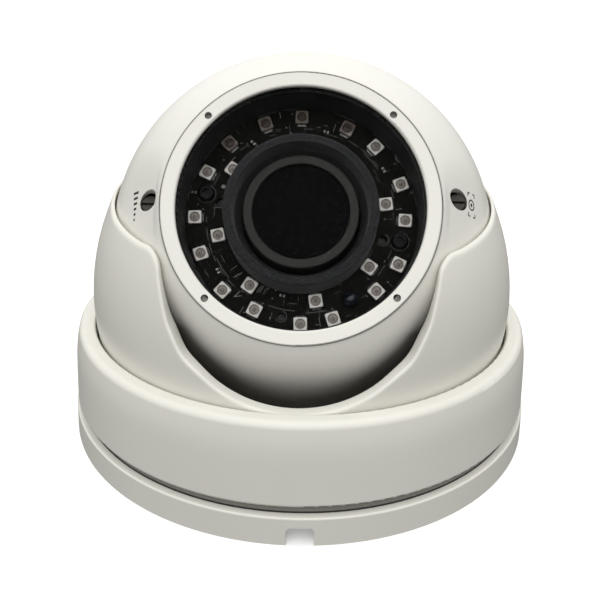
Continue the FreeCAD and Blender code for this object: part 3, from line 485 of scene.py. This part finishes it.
def make_cradle():
    mid, far = cradle_rim(0.0), cradle_rim(5.0)
    kn = [0.0]
    for p, q in zip(mid, mid[1:] + mid[:1]):
        kn.append(kn[-1] + (q - p).length)
    tot = kn[-1]
    m = 3
    xs = [k - tot for k in kn[-1 - m:-1]] + kn[:-1] + [k + tot for k in kn[:m + 1]]
    ym = mid[-m:] + mid + mid[:m + 1]
    yf = far[-m:] + far + far[:m + 1]
    NC = 760
    inner, outer = [], []
    for k in range(NC):
        t = tot * k / NC
        p, q = hermite(xs, ym, t), hermite(xs, yf, t)
        d = (q - p)
        d.z = 0
        d.normalize()
        p = snap(r_in, p)
        lo, hi = 0.0, 12.0
        for _ in range(30):
            mm = 0.5 * (lo + hi)
            w = p + d * mm
            if math.hypot(w.x, w.y) < r_out(w.z):
                lo = mm
            else:
                hi = mm
        inner.append(p)
        outer.append(p + d * lo)
    cols = []
    for k in range(NC):
        p, o = inner[k], outer[k]
        ti = (inner[(k + 2) % NC] - inner[k - 2]).normalized()
        to = (outer[(k + 2) % NC] - outer[k - 2]).normalized()
        bi = ti.cross(cyl_n(r_in, p)).normalized()
        bo = to.cross(cyl_n(r_out, o)).normalized()
        c = (o - p)
        w = c.length
        c.normalize()
        ri, ro = 0.55, 1.0
        ei, eo = min(ri, 0.35 * w), min(ro, 0.55 * w)
        col = []
        a0 = snap(r_in, p + bi * ri)
        top_z = a0.z
        for j in range(9):
            f = j / 9
            z = 9.15 + (top_z - 9.15) * (1 - (1 - f) ** 1.6) * 0.985
            x = snap(r_in, Vector((a0.x, a0.y, z)))
            col.append(x)
        col.append(snap(r_in, p + bi * (ri + 0.25)) if (p + bi * (ri + 0.25)).z > 9.2 else a0)
        for j in range(6):
            f = j / 5
            col.append(a0 * (1 - f) ** 2 + p * 2 * f * (1 - f) + (p + c * ei) * f * f)
        g0 = snap(r_out, o + bo * ro)
        f0 = o - c * eo
        for j in range(7):
            f = j / 6
            col.append(f0 * (1 - f) ** 2 + o * 2 * f * (1 - f) + g0 * f * f)
        g1 = snap(r_out, o + bo * (ro + 0.3))
        col.append(g1)
        for j in range(1, 17):
            f = j / 16
            z = g1.z + (9.15 - g1.z) * f
            col.append(snap(r_out, Vector((g1.x, g1.y, z))))
        cols.append(col)
    bm = bmesh.new()
    vs = [[bm.verts.new(p) for p in col] for col in cols]
    n = len(cols[0])
    for k in range(NC):
        a, b = vs[k], vs[(k + 1) % NC]
        for i in range(n):
            j = (i + 1) % n
            bm.faces.new((a[i], b[i], b[j], a[j]))
    bmesh.ops.recalc_face_normals(bm, faces=bm.faces)
    # captured flange and the two pivot pads
    fl = [(52.9, 19.4), (56.2, 19.4), (56.4, 19.6), (56.4, 22.0), (56.2, 22.2), (52.9, 22.2)]
    lathe(bm, fl, 160)
    for sx in (-1, 1):
        rings = []
        for x, r in ((50.3, 5.0), (48.1, 5.0), (48.0, 4.85), (48.0, 2.55), (50.3, 2.55)):
            rings.append([Vector((sx * x, r * math.cos(2 * math.pi * i / 48), 45.4 + r * math.sin(2 * math.pi * i / 48))) for i in range(48)])
        vr = loops(bm, rings)
        for i in range(48):
            bm.faces.new((vr[-1][i], vr[-1][(i + 1) % 48], vr[0][(i + 1) % 48], vr[0][i]))
    # tab that meets the pan stop
    tab = []
    for z, e in ((9.15, 0.25), (9.4, 0.0), (13.55, 0.0), (13.8, 0.25)):
        x, y0, y1 = 2.6 - e, -51.5 + e, -47.2 - e
        c = 0.3
        tab.append([Vector(q + (z,)) for q in ((x, y0 + c), (x, y1 - c), (x - c, y1), (c - x, y1), (-x, y1 - c), (-x, y0 + c), (c - x, y0), (x - c, y0))])
    vt = loops(bm, tab)
    bm.faces.new(vt[0])
    bm.faces.new(list(reversed(vt[-1])))
    bmesh.ops.recalc_face_normals(bm, faces=bm.faces)
    return piece("cradle_body", bm, MAT["paint_cradle"], "cradle", ("cradle",), frame_m=BASE_M, sharp=40)


make_cradle()

# front shell: the milled flats at the adjuster holes run softly into the ball
FLATS = []
for sx, dist in ((-1, 47.2), (1, 47.5)):
    FLATS.append((Vector((sx * math.sin(math.radians(49)), 0.02, math.cos(math.radians(49)))).normalized(), dist))


def shell_r(d, soft=0.9):
    r = 48.4
    for n, dist in FLATS:
        c = d.dot(n)
        if c > 0.6:
            q = dist / c
            h = min(1.0, max(0.0, 0.5 + 0.5 * (q - r) / soft))
            r = q * (1 - h) + r * h - soft * h * (1 - h)
    th = math.degrees(math.acos(max(-1.0, min(1.0, d.z))))
    f = min(1.0, max(0.0, (th - 39.0) / 3.2))
    f = f * f * (3 - 2 * f)
    return 48.4 + (r - 48.4) * f


def shell_n(d):
    """Outward normal of the soft surface in a direction."""
    a = d.orthogonal().normalized()
    b = d.cross(a)
    e = 0.002
    pa = (d + a * e).normalized()
    pb = (d + b * e).normalized()
    ma = (d - a * e).normalized()
    mb = (d - b * e).normalized()
    return (pa * shell_r(pa) - ma * shell_r(ma)).cross(pb * shell_r(pb) - mb * shell_r(mb)).normalized()


def cad_r(d):
    r = 48.4
    for sx in (-1, 1):
        n = Vector((sx * math.sin(math.radians(49)), 0.02, math.cos(math.radians(49)))).normalized()
        c = d.dot(n)
        if c > 0.6:
            r = min(r, 47.5 / c)
    return r


def soft_shell(node, name, body):
    src = N[node]
    inv = EYE.inverted() @ src.matrix_world
    bm = bmesh.new()
    bm.from_mesh(src.data)
    bm.transform(inv)
    bmesh.ops.remove_doubles(bm, verts=bm.verts, dist=0.0005)
    mark = bm.faces.layers.int.new("outer")
    ok = {v: abs(v.co.length - cad_r(v.co.normalized())) < 0.03 for v in bm.verts}
    for f in bm.faces:
        f[mark] = int(all(ok[v] for v in f.verts) and f.normal.dot(f.calc_center_median().normalized()) > 0.9)
    for _ in range(3):
        es = {e for f in bm.faces if f[mark] for e in f.edges if e.calc_length() > 2.2}
        if not es:
            break
        bmesh.ops.subdivide_edges(bm, edges=list(es), cuts=1, use_grid_fill=False)
        bmesh.ops.triangulate(bm, faces=[f for f in bm.faces if len(f.verts) > 3])
    seen = {v for f in bm.faces if f[mark] for v in f.verts}
    for v in seen:
        d = v.co.normalized()
        v.co = d * shell_r(d)
    bm.normal_update()
    for e in bm.edges:
        if len(e.link_faces) == 2:
            a, b = e.link_faces
            e.smooth = bool(a[mark] and b[mark]) or e.calc_face_angle(0.0) < math.radians(30)
        else:
            e.smooth = False
    for f in bm.faces:
        f.smooth = True
    me = bpy.data.meshes.new(name)
    outer = [bool(f[mark]) for f in bm.faces]
    bm.to_mesh(me)
    bm.free()
    ns = [Vector(c.vector) for c in me.corner_normals]
    for p in me.polygons:
        if outer[p.index]:
            for li in p.loop_indices:
                ns[li] = shell_n(me.vertices[me.loops[li].vertex_index].co.normalized())
    rot = EYE.to_3x3().normalized()
    me.transform(EYE)
    me.normals_split_custom_set([tuple((rot @ n).normalized()) for n in ns])
    me.materials.append(MAT["paint_eyeball"])
    o = new_object(name, me)
    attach(o, body)
    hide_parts(node)
    return o


soft_shell("front_shell", "front_shell_soft", "eyeball")

# printed marks beside the adjuster holes: a ramp of bars on the left, a target between brackets on the right
def on_shell(side, u, w, lift):
    """Point on the shell, u mm outward and w mm up from the adjuster hole on that side."""
    n, dist = FLATS[0 if side < 0 else 1]
    hx, hy = (-33.85, 1.6) if side < 0 else (34.6, 3.6)
    out = Vector((side * math.cos(math.radians(49)), 0, -math.sin(math.radians(49))))
    upv = Vector((0, 1, 0))
    z = (dist - n.x * hx - n.y * hy) / n.z
    p = Vector((hx, hy, z)) + out * u + upv * w
    d = p.normalized()
    return d * (shell_r(d) + lift)


def print_poly(bmx, side, pts):
    top = [bmx.verts.new(on_shell(side, u, w, 0.035)) for u, w in pts]
    low = [bmx.verts.new(on_shell(side, u, w, -0.02)) for u, w in pts]
    k = len(pts)
    bmx.faces.new(top)
    bmx.faces.new(list(reversed(low)))
    for i in range(k):
        bmx.faces.new((top[i], low[i], low[(i + 1) % k], top[(i + 1) % k]))


def print_ring(bmx, side, cu, cw, r0, r1, a0=0.0, a1=360.0, n=28):
    for i in range(n):
        t0, t1 = math.radians(a0 + (a1 - a0) * i / n), math.radians(a0 + (a1 - a0) * (i + 1) / n)
        print_poly(bmx, side, [(cu + r0 * math.cos(t0), cw + r0 * math.sin(t0)), (cu + r1 * math.cos(t0), cw + r1 * math.sin(t0)), (cu + r1 * math.cos(t1), cw + r1 * math.sin(t1)), (cu + r0 * math.cos(t1), cw + r0 * math.sin(t1))])


bm = bmesh.new()
for k in range(6):
    w0 = -3.6 + 1.25 * k
    hgt = 0.5 + 0.34 * k
    print_poly(bm, -1, [(5.6 - hgt / 2, w0), (5.6 + hgt / 2, w0), (5.6 + hgt / 2, w0 + 0.55), (5.6 - hgt / 2, w0 + 0.55)])
print_ring(bm, 1, 5.6, 0.0, 1.0, 1.3)
print_ring(bm, 1, 5.6, 0.0, 0.0001, 0.42, n=16)
for s in (-1, 1):
    for q in (-1, 1):
        print_poly(bm, 1, [(5.6 + q * 0.7, s * 2.7 - 0.14), (5.6 + q * 1.5, s * 2.7 - 0.14), (5.6 + q * 1.5, s * 2.7 + 0.14), (5.6 + q * 0.7, s * 2.7 + 0.14)])
        print_poly(bm, 1, [(5.6 + q * 1.5 - 0.14, s * 2.7), (5.6 + q * 1.5 + 0.14, s * 2.7), (5.6 + q * 1.5 + 0.14, s * 1.9), (5.6 + q * 1.5 - 0.14, s * 1.9)])
bmesh.ops.recalc_face_normals(bm, faces=bm.faces)
piece("printed_marks", bm, MAT["print_black"], "eyeball", ("printed_symbols",), sharp=30)


# emitters: white package with a cup, a square die and a clear dome
LED_H = 26.3
LED_XY = [(-0.47, 24.17), (10.12, 21.73), (16.68, 17.35), (22.52, 8.52), (23.55, 0.06), (22.06, -10.13), (17.22, -16.33), (7.63, -22.78),
          (0.43, -24.13), (-9.9, -21.21), (-17.22, -16.97), (-22.49, -8.63), (-24.22, -0.23), (-21.85, 10.4), (-17.04, 17.48), (-8.88, 22.4),
          (19.17, 3.78), (15.59, -10.89), (3.72, -18.88), (-11.17, -15.73), (-18.79, -4.35), (-15.97, 11.25)]
LEDS = [(x, y, -math.atan2(x + 0.3, y - 0.45), math.hypot(x, y)) for x, y in LED_XY]


def rsq(half, rad, z, n=32, rot=0.0, cx=0.0, cy=0.0):
    """Rounded square ring."""
    pts = []
    for i in range(n):
        a = 2 * math.pi * i / n
        c, s = math.cos(a), math.sin(a)
        k = 1.0 / max(abs(c), abs(s))
        x, y = half * c * k, half * s * k
        qx, qy = max(-half + rad, min(half - rad, x)), max(-half + rad, min(half - rad, y))
        d = math.hypot(x - qx, y - qy)
        if abs(x) > half - rad and abs(y) > half - rad and d > 0:
            x, y = qx + (x - qx) * rad / d, qy + (y - qy) * rad / d
        pts.append(Vector((cx + x * math.cos(rot) - y * math.sin(rot), cy + x * math.sin(rot) + y * math.cos(rot), z)))
    return pts


def circ(r, z, n=32, rot=0.0, cx=0.0, cy=0.0):
    return [Vector((cx + r * math.cos(2 * math.pi * i / n + rot), cy + r * math.sin(2 * math.pi * i / n + rot), z)) for i in range(n)]


MAT["led_cup"] = plastic("led_cup", (0.36, 0.31, 0.28, 1), 0.3, 6.0, 0.01)
# Painted shade: the top row of emitters gets darker package, cup and dome tones.
for key, tone in (("led_body", (0.17, 0.145, 0.12, 1)), ("led_dome", (0.10, 0.08, 0.07, 1)), ("led_cup", (0.09, 0.07, 0.06, 1))):
    shade_by(MAT[key], top_row_shade_mask(MAT[key].node_tree), tone)
MAT["led_die"] = plastic("led_die", (0.035, 0.022, 0.018, 1), 0.3, 6.0, 0.01)
MAT["solder"] = metal("solder", (0.62, 0.62, 0.60, 1), 0.3, 3.0)
bm, bd, bs = bmesh.new(), bmesh.new(), bmesh.new()
for k, (x, y, rot, rr) in enumerate(LEDS):
    top = LED_H + 0.9
    tilt = 0.012 * math.sin(k * 2.7)
    jr = rot + tilt * 3
    loops(bm, [rsq(1.46, 0.18, LED_H + 0.02, 32, jr, x, y), rsq(1.5, 0.2, LED_H + 0.12, 32, jr, x, y), rsq(1.5, 0.2, top - 0.07, 32, jr, x, y),
               rsq(1.43, 0.16, top, 32, jr, x, y), circ(1.22, top, 32, jr, x, y), circ(1.18, top - 0.03, 32, jr, x, y)])
    loops(bm, [circ(1.18, top - 0.03, 32, jr, x, y), circ(1.02, top - 0.36, 32, jr, x, y)], close_last=True, mat=1)
    loops(bm, [rsq(0.42, 0.05, top - 0.37, 16, jr, x, y), rsq(0.42, 0.05, top - 0.26, 16, jr, x, y), rsq(0.38, 0.05, top - 0.24, 16, jr, x, y)], close_last=True, mat=2)
    # dome
    rings = []
    for i in range(8):
        t = i / 8 * math.radians(62)
        R = 1.24
        rings.append(circ(R * math.cos(math.radians(28) + t) / math.cos(math.radians(28)) * 1.0, top - 0.30 + R * (math.sin(math.radians(28) + t) - math.sin(math.radians(28))) * 0.95, 24, jr, x, y))
    loops(bd, [circ(1.02, top - 0.345, 24, jr, x, y)] + [[v for v in r] for r in [[Vector((x + (p.x - x) * 0.93, y + (p.y - y) * 0.93, p.z)) for p in q] for q in rings]], close_last=True)
    # solder fillets at two ends
    for s in (-1, 1):
        u = Vector((math.cos(jr + math.pi / 2), math.sin(jr + math.pi / 2), 0)) * s
        w = Vector((-u.y, u.x, 0))
        c = Vector((x, y, 0)) + u * 1.5
        z = LED_H
        ring0 = [c + w * 1.05 + Vector((0, 0, z)), c - w * 1.05 + Vector((0, 0, z)), c - w * 1.0 + u * 0.42 + Vector((0, 0, z)), c + w * 1.0 + u * 0.42 + Vector((0, 0, z))]
        ring1 = [c + w * 1.0 + Vector((0, 0, z + 0.30)), c - w * 1.0 + Vector((0, 0, z + 0.30)), c - w * 0.9 + u * 0.30 + Vector((0, 0, z + 0.05)), c + w * 0.9 + u * 0.30 + Vector((0, 0, z + 0.05))]
        loops(bs, [ring0, ring1], close_last=True)
piece("led_bodies", bm, [MAT["led_body"], MAT["led_cup"], MAT["led_die"]], "eyeball", ("led_packages",))
piece("led_domes", bd, MAT["led_dome"], "eyeball", ("led_lenses",))
piece("led_solder", bs, MAT["solder"], "eyeball", (), sharp=50)

# conductors, legend ticks and small parts on the board
MAT["board_trace"] = plastic("board_trace", (0.055, 0.057, 0.055, 1), 0.38, 3.0, 0.01)
MAT["legend"] = plastic("legend", (0.26, 0.26, 0.25, 1), 0.6, 3.0, 0.01)
bt, bl, bp = bmesh.new(), bmesh.new(), bmesh.new()


def strip(bmx, pts, w, z, t=0.03):
    """Flat raised line along points."""
    n = len(pts)
    left, right_ = [], []
    for i, p in enumerate(pts):
        a, b = pts[max(0, i - 1)], pts[min(n - 1, i + 1)]
        d = (Vector(b) - Vector(a)).normalized()
        nn = Vector((-d.y, d.x))
        left.append(Vector(p) + nn * w / 2)
        right_.append(Vector(p) - nn * w / 2)
    tl = [bmx.verts.new((p.x, p.y, z + t)) for p in left]
    tr = [bmx.verts.new((p.x, p.y, z + t)) for p in right_]
    b1 = [bmx.verts.new((p.x, p.y, z)) for p in left]
    b2 = [bmx.verts.new((p.x, p.y, z)) for p in right_]
    for i in range(n - 1):
        bmx.faces.new((tl[i], tr[i], tr[i + 1], tl[i + 1]))
        bmx.faces.new((b1[i], tl[i], tl[i + 1], b1[i + 1]))
        bmx.faces.new((tr[i], b2[i], b2[i + 1], tr[i + 1]))
        bmx.faces.new((b2[i], b1[i], b1[i + 1], b2[i + 1]))
    bmx.faces.new((tl[0], b1[0], b2[0], tr[0]))
    bmx.faces.new((tr[-1], b2[-1], b1[-1], tl[-1]))


def pc(r, a):
    return (r * math.sin(math.radians(a)), r * math.cos(math.radians(a)))


rnd = 7


def rand():
    global rnd
    rnd = (rnd * 1103515245 + 12345) % 2147483648
    return rnd / 2147483648


KEEP = [(x, y, 2.25) for x, y, _, _ in LEDS] + [(22.4, -4.7, 2.3), (-21.9, 5.5, 2.3), (-18.6, 3.6, 1.4), (18.6, -4.4, 1.4), (-3.9, -22.5, 1.3), (-5.0, -15.0, 1.2), (11.5, -18.4, 2.5),
                                                       (28.4, 1.0, 1.8), (27.6, -6.6, 1.6), (-24.4, -14.6, 1.6), (-28.3, -2.0, 1.8)]


def clear_of(p):
    return all(math.hypot(p[0] - x, p[1] - y) > r for x, y, r in KEEP)


for r, step in ((26.9, 9.0), (26.45, 9.0), (21.65, 7.0), (21.2, 11.0), (17.0, 9.0)):
    a = 0.0
    while a < 360:
        span = step * (0.5 + rand())
        pts = [pc(r, a + span * i / 6) for i in range(7)]
        if all(clear_of(p) for p in pts) and rand() > 0.35:
            strip(bt, pts, 0.16, LED_H, 0.02)
        a += span + 1.5 + 3 * rand()
for k in range(150):
    a, r = rand() * 360, 16.6 + rand() * 9.5
    ln = 0.7 + 1.5 * rand()
    along = rand() > 0.35
    p0 = pc(r, a)
    p1 = pc(r + ln, a) if along else pc(r, a + math.degrees(ln / r))
    if math.hypot(*p1) < 27.0 and all(clear_of(((p0[0] * (1 - t) + p1[0] * t), (p0[1] * (1 - t) + p1[1] * t))) for t in (0, 0.5, 1)):
        strip(bt if k % 4 else bl, [p0, p1], 0.13 if k % 4 else 0.10, LED_H, 0.02)
# rings printed round the screws and holes
for x, y, r in ((-18.6, 3.6, 1.35), (18.6, -4.4, 1.35), (-3.9, -22.5, 1.25), (22.4, -4.7, 2.15), (-21.9, 5.5, 2.15)):
    pts = [(x + r * math.cos(t), y + r * math.sin(t)) for t in [math.radians(200 + 230 * i / 18) for i in range(19)]]
    strip(bt, pts, 0.14, LED_H, 0.02)
# small u-shaped legend
pts = [(22.4 + 1.0 * math.cos(math.radians(t)), 15.1 + 1.0 * math.sin(math.radians(t))) for t in range(150, 391, 15)]
strip(bl, pts, 0.16, LED_H, 0.02)
# two paired ticks beside one inner emitter
for dx in (0.0, 0.55):
    strip(bl, [(-9.6 + dx, -17.2), (-8.5 + dx, -15.6)], 0.13, LED_H, 0.02)
strip(bl, [(-13.2, -16.9), (-14.6, -18.3)], 0.14, LED_H, 0.02)
strip(bl, [(-14.6, -18.3), (-12.9, -18.0)], 0.14, LED_H, 0.02)
piece("board_tracks", bt, MAT["board_trace"], "eyeball", ())
# vias and one round test pad
for k in range(46):
    a, r = rand() * 360, 17.0 + rand() * 9.5
    p = pc(r, a)
    if clear_of(p):
        loops(bl, [circ(0.16, LED_H, 10, 0, *p), circ(0.14, LED_H + 0.03, 10, 0, *p)], close_last=True)
loops(bl, [circ(0.48, LED_H, 20, 0, -18.1, 7.3), circ(0.44, LED_H + 0.05, 20, 0, -18.1, 7.3)], close_last=True)
piece("board_legend", bl, MAT["legend"], "eyeball", ())
# chip resistors
be = bmesh.new()
for a, r, rot in ((57, 22.2, 57), (102, 20.9, 15), (146, 22.6, 146), (192, 18.2, 12), (236, 22.3, 60), (283, 25.4, 10), (327, 21.4, 40), (14, 21.6, 14)):
    x, y = pc(r, a)
    if not clear_of((x, y)):
        continue
    t = -math.radians(rot)
    c, s = math.cos(t), math.sin(t)
    for x0, x1, target in ((-0.36, 0.36, bp), (-0.55, -0.36, be), (0.36, 0.55, be)):
        ring = lambda z, g: [Vector((x + c * u - s * v, y + s * u + c * v, z)) for u, v in ((x0 + g, -0.28 + g), (x1 - g, -0.28 + g), (x1 - g, 0.28 - g), (x0 + g, 0.28 - g))]
        loops(target, [ring(LED_H, 0), ring(LED_H + 0.26, 0), ring(LED_H + 0.3, 0.04)], close_last=True)
piece("board_resistors", bp, MAT["component_black"], "eyeball", ())
piece("board_resistor_ends", be, MAT["solder"], "eyeball", ())

# foam light shield: cut foam with a grainy face, an inner chamfer and a slightly torn crest
def foam_wobble(p, i):
    q = p * 0.9
    d = 0.05 * noise.noise(q) + 0.035 * noise.noise(p * 3.1)
    r = math.hypot(p.x, p.y)
    return Vector((p.x * (1 + d / r), p.y * (1 + d / r), p.z + (0.05 * noise.noise(p * 2.3 + Vector((9, 3, 1))) if 30 < p.z else 0)))


prof = [(13.45, 28.8), (17.3, 26.35), (17.25, 28.5), (17.15, 31.0), (17.08, 33.0), (17.04, 34.4)]
prof += arc_pts(16.55, 34.9, 0.5, 8, 82, 5)
prof += [(16.3, 35.44), (16.1, 35.42), (15.9, 35.4), (15.7, 35.4), (15.5, 35.44), (15.33, 35.5), (15.2, 35.5), (15.12, 35.38), (15.08, 35.1), (15.06, 34.6), (15.04, 34.0), (15.0, 33.2), (14.96, 32.2), (14.9, 31.0), (14.84, 30.2)]
bm = bmesh.new()
lathe(bm, prof, 420, wobble=foam_wobble)
fmat, fnt2, fb2 = principled("foam_grain")
v = coords(fnt2)
vo = fnt2.nodes.new("ShaderNodeTexVoronoi")
vo.inputs["Scale"].default_value = 2.6
fnt2.links.new(v, vo.inputs["Vector"])
g1 = noise_tex(fnt2, v, 3.2, 4.0, 0.7)
cell = remap(fnt2, vo.outputs["Distance"], 0.05, 0.6, 0.0, 1.0)
h = math_node(fnt2, "MULTIPLY", cell, g1)
fnt2.links.new(ramp(fnt2, h, [(0.08, (0.007, 0.0075, 0.009, 1)), (0.30, (0.012, 0.0125, 0.014, 1)), (0.6, (0.027, 0.028, 0.031, 1))]), fb2.inputs["Base Color"])
fb2.inputs["Roughness"].default_value = 0.85
fb2.inputs["Specular IOR Level"].default_value = 0.25
fb2.inputs["Sheen Weight"].default_value = 0.15
bump(fnt2, fb2, h, 0.7, 0.15)
MAT["foam_grain"] = fmat
piece("foam_shield", bm, fmat, "eyeball", ("light_baffle",), sharp=60)

# floor and light
bm = bmesh.new()
bmesh.ops.create_grid(bm, x_segments=8, y_segments=8, size=6.0)
me = bpy.data.meshes.new("floor")
bm.to_mesh(me)
bm.free()
floor = new_object("floor", me)
fm, fnt, fb = principled("floor_pale")
fv = coords(fnt, 0.001)
fn = noise_tex(fnt, fv, 3.0, 2.0)
fnt.links.new(ramp(fnt, fn, [(0.3, (0.90, 0.90, 0.90, 1)), (0.7, (0.92, 0.92, 0.92, 1))]), fb.inputs["Base Color"])
fb.inputs["Roughness"].default_value = 0.9
fb.inputs["Specular IOR Level"].default_value = 0.0
fb.inputs["Emission Color"].default_value = (1, 1, 1, 1)
fb.inputs["Emission Strength"].default_value = 0.25
me.materials.append(fm)
floor.visible_diffuse = False
floor.visible_glossy = False


def area(name, loc, target, size, power, col=(1, 1, 1), size_y=None):
    d = bpy.data.lights.new(name, "AREA")
    d.shape = "RECTANGLE"
    d.size = size
    d.size_y = size_y or size
    d.energy = power
    d.color = col
    o = bpy.data.objects.new(name, d)
    scene.collection.objects.link(o)
    o.location = loc
    o.rotation_euler = (Vector(target) - Vector(loc)).to_track_quat("-Z", "Y").to_euler()
    return o



def world_light(sky, ground, patch_dir, patch_cos, patch_drop, side_drop, tint):
    """Soft dome from above, a little stronger from the front."""
    w = bpy.data.worlds.new("studio")
    scene.world = w
    w.use_nodes = True
    nt = w.node_tree
    for n in list(nt.nodes):
        nt.nodes.remove(n)
    out = nt.nodes.new("ShaderNodeOutputWorld")
    bg = nt.nodes.new("ShaderNodeBackground")
    nt.links.new(bg.outputs[0], out.inputs[0])
    tc = nt.nodes.new("ShaderNodeTexCoord")
    sep = nt.nodes.new("ShaderNodeSeparateXYZ")
    nt.links.new(tc.outputs["Generated"], sep.inputs[0])
    up = nt.nodes.new("ShaderNodeMapRange")
    up.interpolation_type = "SMOOTHSTEP"
    for k, v in zip(("From Min", "From Max", "To Min", "To Max"), (-0.06, 0.20, ground, sky)):
        up.inputs[k].default_value = v
    nt.links.new(sep.outputs["Z"], up.inputs["Value"])
    dot = nt.nodes.new("ShaderNodeVectorMath")
    dot.operation = "DOT_PRODUCT"
    dot.inputs[1].default_value = Vector(patch_dir).normalized()
    nt.links.new(tc.outputs["Generated"], dot.inputs[0])
    pt = nt.nodes.new("ShaderNodeMapRange")
    pt.interpolation_type = "SMOOTHSTEP"
    for k, v in zip(("From Min", "From Max", "To Min", "To Max"), (patch_cos[0], patch_cos[1], 1.0, 1.0 - patch_drop)):
        pt.inputs[k].default_value = v
    nt.links.new(dot.outputs["Value"], pt.inputs["Value"])
    side = remap(nt, math_node(nt, "ABSOLUTE", sep.outputs["X"], 0.0), 0.45, 0.92, 1.0, 1.0 - side_drop)
    high = remap(nt, sep.outputs["Z"], 0.05, 0.95, 0.96, 0.98)
    both = math_node(nt, "MULTIPLY", math_node(nt, "MULTIPLY", pt.outputs["Result"], side), high)
    nt.links.new(math_node(nt, "MULTIPLY", up.outputs["Result"], both), bg.inputs["Strength"])
    bg.inputs["Color"].default_value = tint


def direction(az, el):
    a, e = math.radians(az), math.radians(el)
    return (math.sin(a) * math.cos(e), -math.cos(a) * math.cos(e), math.sin(e))


world_light(1.18, 0.02, direction(-8, 55), (0.76, 0.98), -0.75, 0.28, (1.0, 1.0, 0.985, 1))
